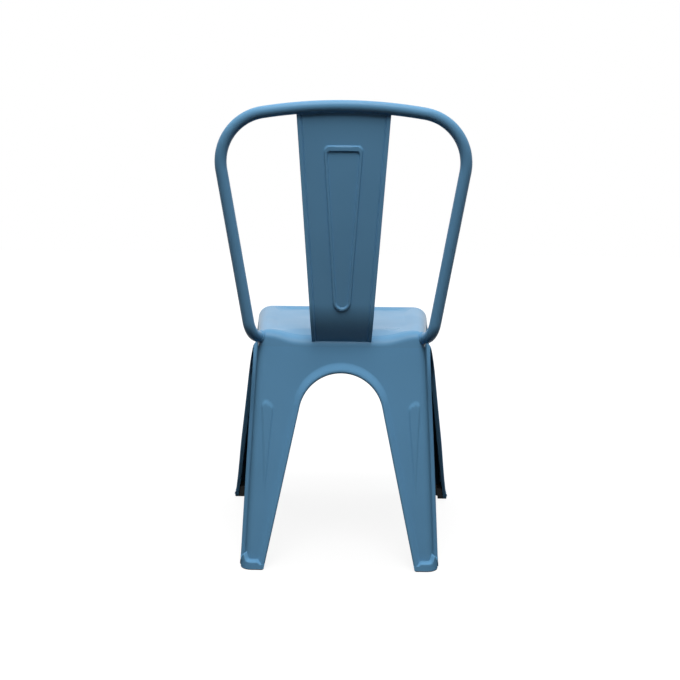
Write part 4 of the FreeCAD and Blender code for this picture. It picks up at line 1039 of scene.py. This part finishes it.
world = bpy.data.worlds.new("soft_surround")
bpy.context.scene.world = world
world.use_nodes = True
nodes, links = world.node_tree.nodes, world.node_tree.links
nodes.clear()
output = nodes.new("ShaderNodeOutputWorld")
place = nodes.new("ShaderNodeTexCoord")
split = nodes.new("ShaderNodeSeparateXYZ")
links.new(place.outputs["Generated"], split.inputs["Vector"])
height = nodes.new("ShaderNodeMapRange")
height.inputs["From Min"].default_value = -1
height.inputs["From Max"].default_value = 1
links.new(split.outputs["Z"], height.inputs["Value"])
sky = nodes.new("ShaderNodeValToRGB")
sky.color_ramp.elements[0].position = SKY_DARK_BELOW
sky.color_ramp.elements[0].color = (SKY_DARK,) * 3 + (1,)
sky.color_ramp.elements[1].position = SKY_FULL_ABOVE
sky.color_ramp.elements[1].color = (1, 1, 1, 1)
links.new(height.outputs["Result"], sky.inputs["Fac"])
lit = nodes.new("ShaderNodeBackground")
lit.inputs["Strength"].default_value = SKY_STRENGTH
links.new(sky.outputs["Color"], lit.inputs["Color"])
white = nodes.new("ShaderNodeBackground")
white.inputs["Color"].default_value = (1, 1, 1, 1)
mix = nodes.new("ShaderNodeMixShader")
links.new(seen_directly(nodes, links), mix.inputs["Fac"])
links.new(lit.outputs["Background"], mix.inputs[1])
links.new(white.outputs["Background"], mix.inputs[2])
links.new(mix.outputs["Shader"], output.inputs["Surface"])


def soft_lamp(name, place, aim, size, power):
    """A square soft lamp at a place in metres, turned to face its aim."""
    data = bpy.data.lights.new(name, "AREA")
    data.shape = "SQUARE"
    data.size = size
    data.energy = power
    lamp = bpy.data.objects.new(name, data)
    bpy.context.collection.objects.link(lamp)
    way = Vector(aim) - Vector(place)
    lamp.matrix_world = Matrix.Translation(place) @ way.to_track_quat("-Z", "Y").to_matrix().to_4x4()


soft_lamp("overhead_softbox", place=(0, 0.25, 2.4), aim=(0, 0.05, 0.4), size=1.0, power=8)
soft_lamp("rear_softbox", place=(0, 1.44, 2.84), aim=(0, 0.17, 0.42), size=1.2, power=37)

CAMERA_PLACE = (-0.0108, 2.335, 0.7826)
CAMERA_YAW = -0.0064
CAMERA_PITCH = 0.1659
CAMERA_ROLL = 0.0104
IMAGE_WIDTH = 680
FOCAL_PIXELS = 1180
SENSOR_WIDTH = 36

camera_data = bpy.data.cameras.new("camera")
camera_data.sensor_width = SENSOR_WIDTH
camera_data.lens = SENSOR_WIDTH * FOCAL_PIXELS / IMAGE_WIDTH
camera = bpy.data.objects.new("camera", camera_data)
bpy.context.collection.objects.link(camera)
level = np.array([-math.sin(CAMERA_YAW), -math.cos(CAMERA_YAW), 0.0])
right = np.array([-math.cos(CAMERA_YAW), math.sin(CAMERA_YAW), 0.0])
upward = math.sin(CAMERA_PITCH) * level + math.cos(CAMERA_PITCH) * np.array([0, 0, 1.0])
forward = math.cos(CAMERA_PITCH) * level - math.sin(CAMERA_PITCH) * np.array([0, 0, 1.0])
rolled_right = math.cos(CAMERA_ROLL) * right + math.sin(CAMERA_ROLL) * upward
rolled_up = math.cos(CAMERA_ROLL) * upward - math.sin(CAMERA_ROLL) * right
axes = np.column_stack([rolled_right, rolled_up, -forward])
camera.matrix_world = Matrix.Translation(CAMERA_PLACE) @ Matrix(axes.tolist()).to_4x4()
bpy.context.scene.camera = camera
bpy.context.scene.view_settings.view_transform = "Standard"
